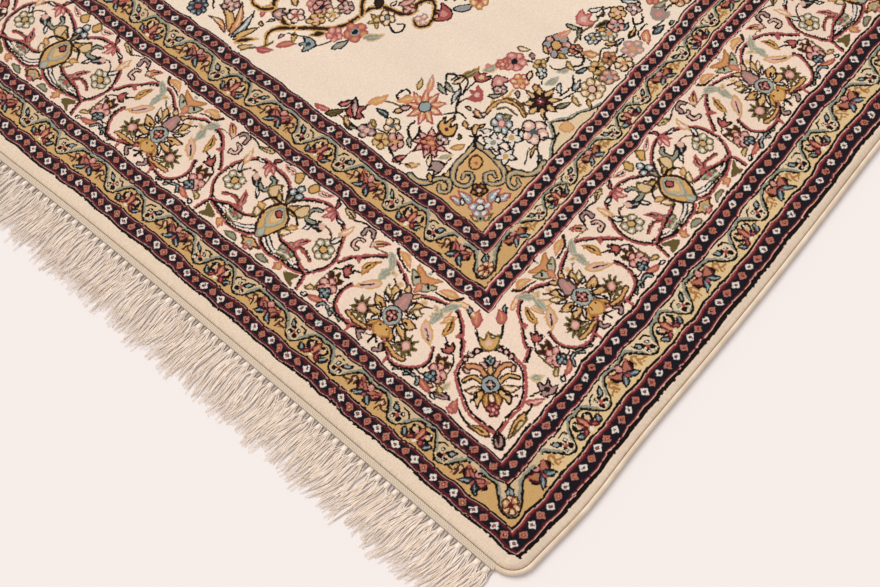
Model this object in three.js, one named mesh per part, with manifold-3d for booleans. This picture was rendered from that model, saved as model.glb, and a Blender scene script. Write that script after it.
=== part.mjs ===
// A hand-knotted Kashmir rug laid flat on a floor: one slab of wool pile, an
// overcast cord down each long side, and a flat-woven band with knotted warp
// tassels at each end. Millimetres, +Z up, X across the rug and Y along it.
// The origin is on the floor under the middle of the rug.
import * as THREE from "three";
import Module from "manifold-3d";

// Driving sizes. Everything across the design is counted in border widths,
// from the outer black guard line to the line round the field.
const borderWidth = 232;
const guardHalfWidth = 3.22 * borderWidth; // outer guard line, across
const guardHalfLength = 4.954 * borderWidth; // outer guard line, along
const sideMargin = 10; // plain pile outside the guard line
const endMargin = 12.8;
const cornerRadius = 20;
const pileHeight = 7; // knots and foundation together
const pileRounding = 1.6; // how far the clipped pile rounds over at its rim
const fitGap = 0.3; // between pieces that are sewn or woven on
const outlineStep = 62; // between outline points on a straight run
const cornerSteps = 6;

const cordRadius = 2.5; // overcast selvedge cord
const cordSides = 8;
const cordLift = 0.1; // the cord is drawn up just clear of the floor

const bandWidth = 6.8; // flat-woven end band
const bandHeight = 2.4;

const tasselPitch = 11;
const tasselLength = 54;
const tasselDrift = 9; // how far the combed fringe leans sideways at its tips
const tasselRoot = 2; // length woven back into the band

// One row for each section of a tassel, from the band outwards.
const tasselSections = [
  { name: "root", along: -tasselRoot, width: 3, height: 2.1 },
  { name: "knot", along: 5, width: 3.6, height: 3.6 },
  { name: "fall", along: 30, width: 8.4, height: 2.8 },
  { name: "tip", along: tasselLength, width: 4.6, height: 1.2 },
];

// How the laid rug's edges stray from straight. Each row is one bump or dip of
// an edge: its centre along that edge from the edge's middle, its half breadth
// and how far it pushes the edge outwards.
const edgeStrays = {
  right: [
    { centre: -1069, breadth: 60, push: 5 },
    { centre: -879, breadth: 210, push: 4.6 },
    { centre: -549, breadth: 130, push: -4 },
    { centre: 150, breadth: 420, push: 4 },
    { centre: 840, breadth: 260, push: -4 },
  ],
  left: [
    { centre: -900, breadth: 300, push: -3.5 },
    { centre: -120, breadth: 380, push: 4.5 },
    { centre: 720, breadth: 300, push: -4 },
    { centre: 1060, breadth: 120, push: 3 },
  ],
  front: [
    { centre: 10, breadth: 110, push: 4.2 },
    { centre: 400, breadth: 320, push: -2.3 },
    { centre: -430, breadth: 260, push: -3.4 },
  ],
  back: [
    { centre: -500, breadth: 240, push: 3.6 },
    { centre: 90, breadth: 260, push: -3.2 },
    { centre: 560, breadth: 170, push: 2.8 },
  ],
};
const strayFade = 6; // power with which a stray dies out towards the far edge

const wasm = await Module();
wasm.setup();

// Sum of an edge's smooth bumps at a place along it.
function strayAt(rows, place) {
  return rows.reduce((sum, row) => {
    const reach = (place - row.centre) / row.breadth;
    return sum + row.push * Math.exp(-reach * reach);
  }, 0);
}

// Moves a point of the true rectangle to where it lies on the laid rug. The
// stray of each edge fades out towards the opposite one.
function laid(x, y) {
  const halfWidth = guardHalfWidth + sideMargin;
  const halfLength = guardHalfLength + endMargin;
  const towardsRight = THREE.MathUtils.clamp(0.5 + x / halfWidth / 2, 0, 1);
  const towardsBack = THREE.MathUtils.clamp(0.5 + y / halfLength / 2, 0, 1);
  const across =
    towardsRight ** strayFade * strayAt(edgeStrays.right, y) -
    (1 - towardsRight) ** strayFade * strayAt(edgeStrays.left, y);
  const along =
    towardsBack ** strayFade * strayAt(edgeStrays.back, x) -
    (1 - towardsBack) ** strayFade * strayAt(edgeStrays.front, x);
  return new THREE.Vector2(x + across, y + along);
}

// Points of one straight run from start to end, both ends included.
function straightRun(start, end) {
  const count = Math.ceil(start.distanceTo(end) / outlineStep);
  return Array.from({ length: count + 1 }, (_, i) =>
    start.clone().lerp(end, i / count),
  );
}

// The quarter circle round one corner of the rug.
function cornerArc(centre, startAngle) {
  return Array.from({ length: cornerSteps + 1 }, (_, i) => {
    const angle = startAngle + (i / cornerSteps) * (Math.PI / 2);
    return new THREE.Vector2(
      centre.x + cornerRadius * Math.cos(angle),
      centre.y + cornerRadius * Math.sin(angle),
    );
  });
}

// Centres of the corner arcs, going round from the back right one.
const arcX = guardHalfWidth + sideMargin - cornerRadius;
const arcY = guardHalfLength + endMargin - cornerRadius;
const cornerCentres = [
  new THREE.Vector2(arcX, arcY),
  new THREE.Vector2(-arcX, arcY),
  new THREE.Vector2(-arcX, -arcY),
  new THREE.Vector2(arcX, -arcY),
];

// The slab's outline as it lies, anticlockwise seen from above.
function slabOutline() {
  const points = [];
  cornerCentres.forEach((centre, i) => {
    const arc = cornerArc(centre, (i * Math.PI) / 2);
    const nextArc = cornerArc(cornerCentres[(i + 1) % 4], ((i + 1) * Math.PI) / 2);
    points.push(...arc);
    points.push(...straightRun(arc.at(-1), nextArc[0]).slice(1, -1));
  });
  return points.map((p) => laid(p.x, p.y));
}

function pileSlab() {
  const outline = new THREE.Shape(slabOutline());
  const geometry = new THREE.ExtrudeGeometry(outline, {
    depth: pileHeight - 2 * pileRounding,
    bevelEnabled: true,
    bevelThickness: pileRounding,
    bevelSize: pileRounding,
    bevelOffset: -pileRounding,
    bevelSegments: 2,
  });
  return geometry.translate(0, 0, pileRounding);
}

// A plain closed geometry as a solid that can be joined.
function solidFrom(positions, triangles) {
  return new wasm.Manifold(
    new wasm.Mesh({
      numProp: 3,
      vertProperties: new Float32Array(positions),
      triVerts: new Uint32Array(triangles),
    }),
  );
}

function geometryFrom(solid) {
  const mesh = solid.getMesh();
  const geometry = new THREE.BufferGeometry();
  geometry.setAttribute(
    "position", new THREE.BufferAttribute(mesh.vertProperties, 3));
  geometry.setIndex(new THREE.BufferAttribute(mesh.triVerts, 1));
  const flat = geometry.toNonIndexed();
  flat.computeVertexNormals();
  return flat;
}

// The edge of the slab at one end, at a place across the rug. End is +1 for
// the back and -1 for the front.
function endEdge(x, end) {
  return laid(x, end * (guardHalfLength + endMargin));
}

// Closed prism with flat ends: rings of the same number of points, each ring
// listed the same way round.
function skin(rings) {
  const size = rings[0].length;
  const positions = rings.flat().flatMap((p) => [p.x, p.y, p.z]);
  const triangles = [];
  for (let r = 0; r + 1 < rings.length; r++) {
    for (let i = 0; i < size; i++) {
      const a = r * size + i;
      const b = r * size + ((i + 1) % size);
      triangles.push(a, b, b + size, a, b + size, a + size);
    }
  }
  const last = (rings.length - 1) * size;
  for (let i = 1; i + 1 < size; i++) {
    triangles.push(0, i + 1, i, last, last + i, last + i + 1);
  }
  return solidFrom(positions, triangles);
}

// The cord bound to one long side, from the band at one end, round both
// corners, to the band at the other. Side is +1 for the right, -1 for the left.
function selvedgeCord(side) {
  const frontArc = cornerArc(new THREE.Vector2(arcX, -arcY), -Math.PI / 2);
  const backArc = cornerArc(new THREE.Vector2(arcX, arcY), 0);
  const edge = [
    ...frontArc,
    ...straightRun(frontArc.at(-1), backArc[0]).slice(1, -1),
    ...backArc,
  ].map((p) => laid(side * p.x, p.y));
  const rings = edge.map((p, i) => {
    const before = edge[Math.max(i - 1, 0)];
    const after = edge[Math.min(i + 1, edge.length - 1)];
    const outwards = new THREE.Vector2(after.y - before.y, before.x - after.x)
      .normalize()
      .multiplyScalar(side);
    return Array.from({ length: cordSides }, (_, k) => {
      const angle = ((k + 0.5) / cordSides) * 2 * Math.PI;
      const away = fitGap + cordRadius * (1 + Math.cos(angle));
      return new THREE.Vector3(
        p.x + outwards.x * away,
        p.y + outwards.y * away,
        cordLift + cordRadius * (1 - side * Math.sin(angle)),
      );
    });
  });
  return geometryFrom(skin(rings));
}

// The flat-woven band, following the slab's edge.
function endBand(end) {
  const reach = arcX - fitGap;
  const count = Math.ceil((2 * reach) / outlineStep);
  const rings = [];
  for (let i = 0; i <= count; i++) {
    const x = -end * reach + ((end * 2 * reach) * i) / count;
    const edge = endEdge(x, end);
    const near = edge.y + end * fitGap;
    const far = near + end * bandWidth;
    rings.push([
      new THREE.Vector3(edge.x, near, 0),
      new THREE.Vector3(edge.x, far, 0),
      new THREE.Vector3(edge.x, far, bandHeight),
      new THREE.Vector3(edge.x, near, bandHeight),
    ]);
  }
  return skin(rings);
}

// The combed lean of the fringe, as a share of its full drift, in slow waves.
function lean(x, end) {
  return (
    0.5 * end +
    0.38 * Math.sin(x / 118 + end) +
    0.24 * Math.sin(x / 47 + 2 * end) +
    0.1 * Math.sin(x / 21)
  );
}

// One knotted tassel: a three-sided lock with its flat side on the floor.
function tassel(x, end, index) {
  const edge = endEdge(x, end);
  const startY = edge.y + end * (fitGap + bandWidth);
  const stretch = 1 + 0.06 * Math.sin(index * 2.4) + 0.03 * Math.sin(index * 5.1);
  const drift = tasselDrift * lean(x, end);
  const rings = tasselSections.map((section) => {
    const share = Math.max(section.along, 0) / tasselLength;
    const away = section.along > 0 ? section.along * stretch : section.along;
    const midX = edge.x + drift * share * share;
    const y = startY + end * away;
    const half = (end * section.width) / 2;
    return [
      new THREE.Vector3(midX - half, y, 0),
      new THREE.Vector3(midX, y, section.height),
      new THREE.Vector3(midX + half, y, 0),
    ];
  });
  return skin(rings);
}

// The band and its tassels, woven as one: the tassels are the ends of the
// band's own warps.
function endFringe(end) {
  const reach = arcX - tasselPitch / 2;
  const count = Math.round((2 * reach) / tasselPitch);
  const locks = Array.from({ length: count + 1 }, (_, i) =>
    tassel(-reach + (2 * reach * i) / count, end, i),
  );
  return geometryFrom(wasm.Manifold.union([endBand(end), ...locks]));
}

const woolPile = new THREE.MeshStandardMaterial({
  color: 0xe9d8b8, roughness: 0.9, metalness: 0,
});
const bindingYarn = new THREE.MeshStandardMaterial({
  color: 0xefe3c8, roughness: 0.85, metalness: 0,
});
const warpCotton = new THREE.MeshStandardMaterial({
  color: 0xddd3c8, roughness: 0.9, metalness: 0,
});

function piece(name, geometry, material) {
  const mesh = new THREE.Mesh(geometry, material);
  mesh.name = name;
  return mesh;
}

const rug = new THREE.Group();
rug.add(
  piece("knotted_pile", pileSlab(), woolPile),
  piece("selvedge_right", selvedgeCord(1), bindingYarn),
  piece("selvedge_left", selvedgeCord(-1), bindingYarn),
  piece("fringe_front", endFringe(-1), warpCotton),
  piece("fringe_back", endFringe(1), warpCotton),
);

export default rug;
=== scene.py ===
import math

import bmesh
import bpy
import numpy as np
from mathutils import Matrix, Vector


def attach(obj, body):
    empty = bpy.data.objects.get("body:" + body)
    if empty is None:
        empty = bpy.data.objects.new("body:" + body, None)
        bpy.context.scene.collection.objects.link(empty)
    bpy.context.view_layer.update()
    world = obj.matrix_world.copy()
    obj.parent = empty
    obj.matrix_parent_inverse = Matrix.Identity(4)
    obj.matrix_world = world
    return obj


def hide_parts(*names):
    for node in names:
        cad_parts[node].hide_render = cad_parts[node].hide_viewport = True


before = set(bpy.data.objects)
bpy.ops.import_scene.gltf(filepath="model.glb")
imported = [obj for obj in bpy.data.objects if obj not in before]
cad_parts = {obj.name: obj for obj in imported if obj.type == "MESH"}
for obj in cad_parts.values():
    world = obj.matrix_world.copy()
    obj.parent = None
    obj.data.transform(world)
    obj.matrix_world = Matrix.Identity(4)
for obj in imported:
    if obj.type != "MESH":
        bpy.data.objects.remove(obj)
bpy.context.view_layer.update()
print("frame loaded")

mm = 0.001

# sizes in millimetres, as the rug's solids have them
rug = {
    "borderWidth": 232, "stepsAcrossBorder": 137,
    "halfWidth": 757.04, "halfLength": 1162.13, "cornerRadius": 20,
    "fitGap": 0.3,
    "cordRadius": 2.5, "cordLift": 0.1, "bandWidth": 6.8, "bandHeight": 3.6,
    "tasselPitch": 11, "tasselLength": 57, "tasselDrift": 12,
}
stepSize = rug["borderWidth"] / rug["stepsAcrossBorder"]
arcX = rug["halfWidth"] - rug["cornerRadius"]
arcY = rug["halfLength"] - rug["cornerRadius"]

# where each edge strays from a straight line: middle, breadth and push of soft bumps
edgeStrays = {
    "right": [(-1069, 60, 5), (-879, 210, 4.6), (-549, 130, -4), (150, 420, 4), (840, 260, -4)],
    "left": [(-900, 300, -3.5), (-120, 380, 4.5), (720, 300, -4), (1060, 120, 3)],
    "front": [(10, 110, 4.2), (400, 320, -2.3), (-430, 260, -3.4)],
    "back": [(-500, 240, 3.6), (90, 260, -3.2), (560, 170, 2.8)],
}
strayFade = 6  # how fast the straying dies away towards the middle


def strayAt(edge, place):
    return sum(
        push * np.exp(-(((place - middle) / breadth) ** 2)) for middle, breadth, push in edgeStrays[edge]
    )


def laid(x, y):
    # where a spot of the straight rug really lies
    right = np.clip(0.5 + x / rug["halfWidth"] / 2, 0, 1)
    back = np.clip(0.5 + y / rug["halfLength"] / 2, 0, 1)
    sideways = right**strayFade * strayAt("right", y) - (1 - right) ** strayFade * strayAt("left", y)
    endways = back**strayFade * strayAt("back", x) - (1 - back) ** strayFade * strayAt("front", x)
    return x + sideways, y + endways


def linear(code):
    # sRGB hex to the linear colour that the shaders take
    parts = [int(code[i : i + 2], 16) / 255 for i in (1, 3, 5)]
    return tuple(p / 12.92 if p <= 0.04045 else ((p + 0.055) / 1.055) ** 2.4 for p in parts) + (1.0,)


# dyed wools
wools = {
    "field": "#EDD8C4", "ivory": "#ECD2BE", "margin": "#E6CFB8", "black": "#130907", "navy": "#15111A",
    "maroon": "#52181F", "red": "#A5524F", "pink": "#C4847A", "salmon": "#B06858", "blush": "#D8AC9C",
    "white": "#DDD2C7", "gold": "#CC9C5E", "ochre": "#A87438", "sand": "#D5B287", "sage": "#8F8E7E",
    "paleSage": "#ADA893", "greyBlue": "#8F9998", "teal": "#2B3233", "olive": "#62522A", "brown": "#4C2B1B",
    "darkBrown": "#2C1811", "mauve": "#A3807A", "orange": "#CC8A5F", "paleGold": "#DCC3A0", "blue": "#4B555C",
    "rose": "#A74F4C", "guardGold": "#C99F68", "guardTan": "#D0B28C", "apricot": "#D0A570",
    # paler gold and red for the side: painted light, the side standing brighter lit than the end
    "sideGold": "#D9BB8B", "sideRedPaintedLight": "#8F3C3E",
}
woolNames = list(wools)
woolNumber = {name: number for number, name in enumerate(woolNames)}
# the lighter wool that each takes inside petals and down the middle of leaves
lighter = {
    "red": "pink", "pink": "blush", "rose": "pink", "salmon": "orange", "gold": "sand", "ochre": "gold",
    "sand": "ivory", "orange": "paleGold", "mauve": "blush", "greyBlue": "white", "sage": "paleSage",
    "paleSage": "ivory", "blue": "greyBlue", "blush": "ivory", "olive": "sage", "brown": "ochre",
    "teal": "greyBlue",
}
finer = 2  # the motifs are measured in steps, 137 across the border, with two knots to each step


def smooth(points, closed=False, fine=6):
    # a rounded line through the points, with so many short legs from each to the next
    p = np.asarray(points, float)
    if len(p) < 3:
        return p
    if closed:
        q = np.vstack([p[-1], p, p[0], p[1]])
    else:
        q = np.vstack([2 * p[0] - p[1], p, 2 * p[-1] - p[-2]])
    legs = []
    t = np.arange(fine)[:, None] / fine
    for a, b, c, d in zip(q[:-3], q[1:-2], q[2:-1], q[3:]):
        curved = 2 * b + (c - a) * t + (2 * a - 5 * b + 4 * c - d) * t**2 + (3 * b - a - 3 * c + d) * t**3
        legs.append(0.5 * curved)
    if not closed:
        legs.append(p[-1:])
    return np.vstack(legs)


class Pen:
    # works wools into a chart: its axes and its place are in knots, and what it draws is in steps
    def __init__(self, chart, axes, at, swaps=None):
        self.chart, self.axes, self.at = chart, np.asarray(axes, float), np.asarray(at, float)
        self.swaps = swaps or {}  # wools that this stretch of the rug takes in place of others

    def moved(self, x, y, turn=0, wide=1, high=1):
        c, s = math.cos(math.radians(turn)), math.sin(math.radians(turn))
        local = np.array([[c * wide, s * wide], [-s * high, c * high]])
        return Pen(self.chart, local @ self.axes, self.spot(x, y), self.swaps)

    def flipped(self, x, y, swaps=None):
        # the same work mirrored over the diagonal
        return Pen(self.chart, self.axes[::-1], self.spot(x, y), swaps)

    def spot(self, x, y):
        return np.array([x, y]) @ self.axes + self.at

    def scale(self):
        return math.sqrt(abs(np.linalg.det(self.axes)))

    def cells(self, low, high):
        # the middles of the knots between two corners, and their part of the chart
        rows, columns = self.chart.shape
        x0, y0 = max(0, int(low[0])), max(0, int(low[1]))
        x1, y1 = min(columns, int(high[0]) + 2), min(rows, int(high[1]) + 2)
        if x0 >= x1 or y0 >= y1:
            return None
        x, y = np.meshgrid(np.arange(x0, x1) + 0.5, np.arange(y0, y1) + 0.5)
        return x, y, self.chart[y0:y1, x0:x1]

    def fill(self, points, wool):
        p = np.asarray(points, float) @ self.axes + self.at
        area = self.cells(p.min(0), p.max(0))
        if area is None:
            return
        x, y, knots = area
        inside = np.zeros(x.shape, bool)
        for (ax, ay), (bx, by) in zip(p, np.roll(p, -1, 0)):
            if ay != by:
                crossing = (ay > y) != (by > y)
                inside ^= crossing & (x < (bx - ax) * (y - ay) / (by - ay) + ax)
        knots[inside] = woolNumber[self.swaps.get(wool, wool)]

    def line(self, points, width, wool, tip=None):
        p = np.asarray(points, float) @ self.axes + self.at
        # lines thin out less than the motif they belong to
        shrunk = min(1, self.scale() / finer + 0.15)
        widths = np.linspace(width, width if tip is None else tip, len(p)) * finer * shrunk
        reach = widths.max() / 2 + 1
        area = self.cells(p.min(0) - reach, p.max(0) + reach)
        if area is None:
            return
        x, y, knots = area
        near = np.zeros(x.shape, bool)
        for (ax, ay), (bx, by), w in zip(p[:-1], p[1:], widths):
            dx, dy = bx - ax, by - ay
            t = np.clip(((x - ax) * dx + (y - ay) * dy) / max(dx * dx + dy * dy, 1e-9), 0, 1)
            near |= (x - ax - t * dx) ** 2 + (y - ay - t * dy) ** 2 <= (w / 2) ** 2
        knots[near] = woolNumber[self.swaps.get(wool, wool)]

    def disc(self, x, y, radius, wool):
        turn = np.linspace(0, 2 * math.pi, 25)[:-1]
        self.fill(np.stack([x + radius * np.cos(turn), y + radius * np.sin(turn)], 1), wool)


def beside(path, away):
    # the path moved sideways
    ahead = np.gradient(path, axis=0)
    ahead /= np.maximum(np.linalg.norm(ahead, axis=1, keepdims=True), 1e-9)
    return path + away * np.stack([-ahead[:, 1], ahead[:, 0]], 1)


# a row of dark knots that steps in and out
def beads(pen, path, radius, wool, gap=1.9):
    legs = np.linalg.norm(np.diff(path, axis=0), axis=1)
    walked = np.concatenate([[0], np.cumsum(legs)])
    for place in np.arange(0.5, walked[-1], gap):
        pen.disc(np.interp(place, walked, path[:, 0]), np.interp(place, walked, path[:, 1]), radius, wool)


# a vine: a line of colour with dark knots along one side
def vine(pen, points, wool="red", shade="black", side=1, width=1.3):
    path = smooth(points)
    shadow = beside(path, side * (width / 2 + 0.4))
    pen.line(shadow, 1.1, shade)
    beads(pen, beside(path, side * (width / 2 + 0.7)), 0.95, shade)
    pen.line(path, width, wool)


def stem(pen, points, wool="black", width=1.1):
    pen.line(smooth(points), width, wool)


# a leaf's outline points, how far its broadest part sits from the middle, and the widths of its lines
leafShape = {"points": 11, "fullness": 0.8, "edge": 1.05, "vein": 0.95, "veinSpan": (3, 9), "leastVeined": 3}


# a blade from one point to another, bowed to one side
def leaf(pen, start, end, width, fill, edge="black", bow=0, vein=None):
    a, b = np.asarray(start, float), np.asarray(end, float)
    along = b - a
    across = np.array([-along[1], along[0]])
    across /= max(np.linalg.norm(across), 1e-9)
    t = np.linspace(0, 1, leafShape["points"])[:, None]
    middle = a + along * t + across * (4 * bow * t * (1 - t))
    half = across * (width / 2) * np.sin(np.pi * t ** leafShape["fullness"])
    outline = np.vstack([middle + half, (middle - half)[::-1]])
    pen.fill(outline, fill)
    if edge:
        pen.line(np.vstack([outline, outline[:1]]), leafShape["edge"], edge)
    if vein or (width > leafShape["leastVeined"] and fill in lighter):
        pen.line(middle[slice(*leafShape["veinSpan"])], leafShape["vein"], vein or lighter[fill])


# a thick curled stroke, edged
def curl(pen, points, width, fill, edge="black", tip=None):
    path = smooth(points)
    tip = width if tip is None else tip
    if edge:
        pen.line(path, width + 2, edge, tip + 2)
    pen.line(path, width, fill, tip)


# the thick coil of a panel's frame: a sage stroke with the ground's gold down its middle
def coil(pen, points, width, tip):
    path = smooth(points)
    pen.line(path, width + 2.2, "black", tip + 1.6)
    pen.line(path, width, "sage", tip)
    pen.line(path, 0.42 * width, "apricot", 0.3 * tip)


# the ring that petals stand on, a petal and the heart as shares of the radius, and the edges in steps
petal = {"ring": 0.6, "size": 0.42, "overlap": 1.08, "edge": 0.95, "leastToned": 1.3, "heart": 0.28}


# round petals about a heart, each with its lighter middle
def flower(pen, x, y, radius, petals, fill, edge="black", heart="gold", heartEdge=None, turn=90, slim=1):
    turns = math.radians(turn) + 2 * math.pi * np.arange(petals) / petals
    reach = petal["ring"] * radius
    spots = np.stack([x + reach * np.cos(turns), y + reach * np.sin(turns)], 1)
    size = slim * min(petal["size"] * radius, reach * math.sin(math.pi / petals) * petal["overlap"])
    for px, py in spots:
        pen.disc(px, py, size + petal["edge"], edge)
        pen.disc(px, py, size, fill)
        if size > petal["leastToned"] and fill in lighter:
            pen.disc(px + 0.15 * (px - x), py + 0.15 * (py - y), 0.5 * size, lighter[fill])
    if heartEdge:
        pen.disc(x, y, petal["heart"] * radius + 0.85, heartEdge)
    pen.disc(x, y, max(petal["heart"] * radius, 0.75), heart)


# pointed petals round a heart
def star(
    pen, x, y, radius, petals, fill, edge="red", heart="greyBlue", heartEdge="black", turn=90, width=0.42
):
    for k in range(petals):
        a = math.radians(turn) + 2 * math.pi * k / petals
        tip = (x + radius * math.cos(a), y + radius * math.sin(a))
        leaf(pen, (x, y), tip, width * radius, fill, edge)
    pen.disc(x, y, 0.27 * radius + 0.9, heartEdge)
    pen.disc(x, y, 0.27 * radius, heart)


# any closed shape with its edge
def blob(pen, points, fill, edge="black", width=1.1):
    outline = smooth(points, closed=True)
    pen.fill(outline, fill)
    if edge:
        pen.line(np.vstack([outline, outline[:1]]), width, edge)


# the same shape on both sides of the axis, from the half that runs from the axis back to it
def shield(pen, half, *wools, **named):
    blob(pen, half + [(-x, y) for x, y in half[-2:0:-1]], *wools, **named)


# small cupped bud on its stem, opening towards an angle
budCup = [
    (-0.9, 0), (-0.3, -0.75), (0.55, -0.95), (0.3, -0.35), (0.95, 0), (0.3, 0.35), (0.55, 0.95),
    (-0.3, 0.75),
]


def bud(pen, x, y, size, turn, fill, edge="black", heart=None):
    cup = pen.moved(x, y, turn, size, size)
    blob(cup, budCup, fill, edge)
    if heart:
        cup.disc(-0.1, 0, 0.32, heart)


# one motif to the left of the axis and again to the right
def pair(pen, *row):
    weave(pen, [row])
    weave(pen.moved(0, 0, 0, -1), [row])


shapes = {
    "vine": vine, "stem": stem, "leaf": leaf, "curl": curl, "coil": coil, "flower": flower, "star": star,
    "blob": blob, "shield": shield, "dot": Pen.disc, "bud": bud, "pair": pair,
}


def weave(pen, rows):
    # each row names a shape, then its places, sizes and wools, and last any that go by name
    for kind, *values in rows:
        named = values.pop() if values and isinstance(values[-1], dict) else {}
        shapes[kind](pen, *values, **named)


# one row per motif of the main border, from the axis of the drop palmette (0) to the ringed palmette (98.4),
# in steps along and across from the outer line: first what belongs to the drop's circles
circleSide = [
    # the circle vine from the axis round to the foot of the heart scroll
    ("vine", [(1, 43), (4.5, 47.2), (11, 52), (20, 54.8), (29, 54.2), (36.5, 51), (42.7, 45.2),
      (47.2, 37.5), (49, 30), (48, 23.4), (44.4, 17), (41, 12.2)], "red", "black", -1),
    ("vine", [(41, 12.4), (42.6, 7), (43.5, 1.5)], "red", "black", -1),
    ("vine", [(1, 12.8), (5, 9.2), (12, 7.3), (20, 7), (29, 8), (36.5, 10.4), (41, 12.6)], "red", "black",
     1),
    # ribbons that sweep out of the drop
    ("curl", [(5, 16), (10, 12.8), (18, 11), (29, 11.8), (39.5, 14)], 1.6, "white", "black", 1),
    ("flower", 21.5, 15.6, 5.6, 5, "sage", "olive", "rose"),
    ("curl", [(8.5, 16.2), (13, 13.6), (20, 12.3), (30, 13)], 0.8, "ivory", None, 0.6),
    ("vine", [(10, 22.4), (15, 19.8), (22, 18.8), (30, 16.8), (36, 14.2), (41, 12.8)], "red", "black", -1),
    ("vine", [(24, 19), (27, 21.6), (32, 21.4), (36.6, 19.4)], "red", "brown", 1, 1.2),
    ("leaf", (21.5, 20), (27.8, 30), 3.6, "pink", "red", 0.6, "black"),
    # inside the circle
    ("flower", 38, 31, 7.2, 6, "paleSage", "olive", "gold", "black"),
    ("leaf", (39, 36.5), (42.5, 45), 3.2, "white", "black", -0.6),
    ("leaf", (40.3, 43), (43.4, 54), 3.8, "blush", "gold", 0.5),
    ("stem", [(38, 37.5), (37.2, 40.4), (33.5, 43), (29, 43.4)], "brown"),
    ("leaf", (29.6, 42.6), (22.5, 36.4), 6.4, "darkBrown", "black", 0, "greyBlue"),
    ("dot", 28, 41.4, 2.2, "blush"), ("leaf", (21.8, 37.6), (18.4, 31.6), 2.8, "white", "black", 0.4),
    ("curl", [(22, 39.4), (17.4, 38.6), (15.4, 42.4), (16.4, 46.6), (19.6, 48)], 2, "sage", "black", 1.4),
    ("leaf", (26.4, 53.2), (23, 45.6), 3.4, "pink", "red", 0.6),
    ("leaf", (27.6, 53), (29.4, 48), 2.4, "pink", "red", -0.4),
    ("leaf", (24.6, 53.4), (20.4, 50), 2.2, "blush", "red"),
    ("leaf", (36.6, 51.6), (29.4, 52.6), 2.4, "white", "black", 0.6),
    ("leaf", (26, 55.2), (22.6, 60.5), 2.6, "red", "black", -0.8),
    # towards the inner line
    ("leaf", (9.4, 57.2), (19, 60), 3, "ivory", "pink", -0.8, "black"),
    ("blob", [(3.2, 55), (4.6, 60), (7.4, 60.2), (9.6, 57.4), (6.6, 53.6)], "gold", "olive"),
    ("leaf", (30.5, 60.2), (41, 57), 3.8, "sand", "olive", 0.5, "black"),
    ("stem", [(40.6, 57), (46, 59.4), (52.5, 60), (56.6, 58), (58, 53.4), (58.8, 50)], "black"),
    ("curl", [(50, 53.8), (50.4, 58), (54.4, 58.8), (56, 56)], 1.8, "mauve", "black", 1.2),
    ("curl", [(53.6, 44), (50, 45), (50, 49.2), (53, 50.6)], 1.8, "blush", "black", 1.2),
    ("leaf", (59, 50.6), (67.6, 58.6), 4, "gold", "red", 0.8, "black"), ("dot", 60, 52.4, 1.6, "blush"),
    ("curl", [(58.6, 50.6), (64, 51.6), (70, 52.2)], 0.9, "olive", None),
    # triangular leaves and bits along the outer line
    ("blob", [(8.6, 1.6), (12, 5.4), (17.6, 2.4)], "sage", "olive"),
    ("bud", 24, 4.8, 3.2, 180, "gold", "salmon"),
    ("blob", [(30, 4.6), (38.6, 9), (36.6, 5), (38.2, 1.4)], "olive", "olive"),
    # the drop palmette
    ("leaf", (2, 35.6), (15.6, 38), 6.4, "gold", "olive", 1.6),
    ("blob", [(8, 36.4), (14.4, 38.2), (15.4, 43), (10.6, 46.6), (9, 42)], "sand", "olive"),
    ("stem", [(3.4, 37.4), (9.4, 37), (12.6, 34.4), (14.6, 31)], "black", 1.4),
    ("leaf", (10.4, 27), (16, 30.4), 4, "gold", "ochre", 0.6),
    ("leaf", (9.4, 21.6), (15, 26.6), 4.6, "sand", "olive", 0.8),
    ("curl", [(3, 39.4), (8, 43.4), (11.4, 46)], 1.2, "darkBrown", None, 1),
]
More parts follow.
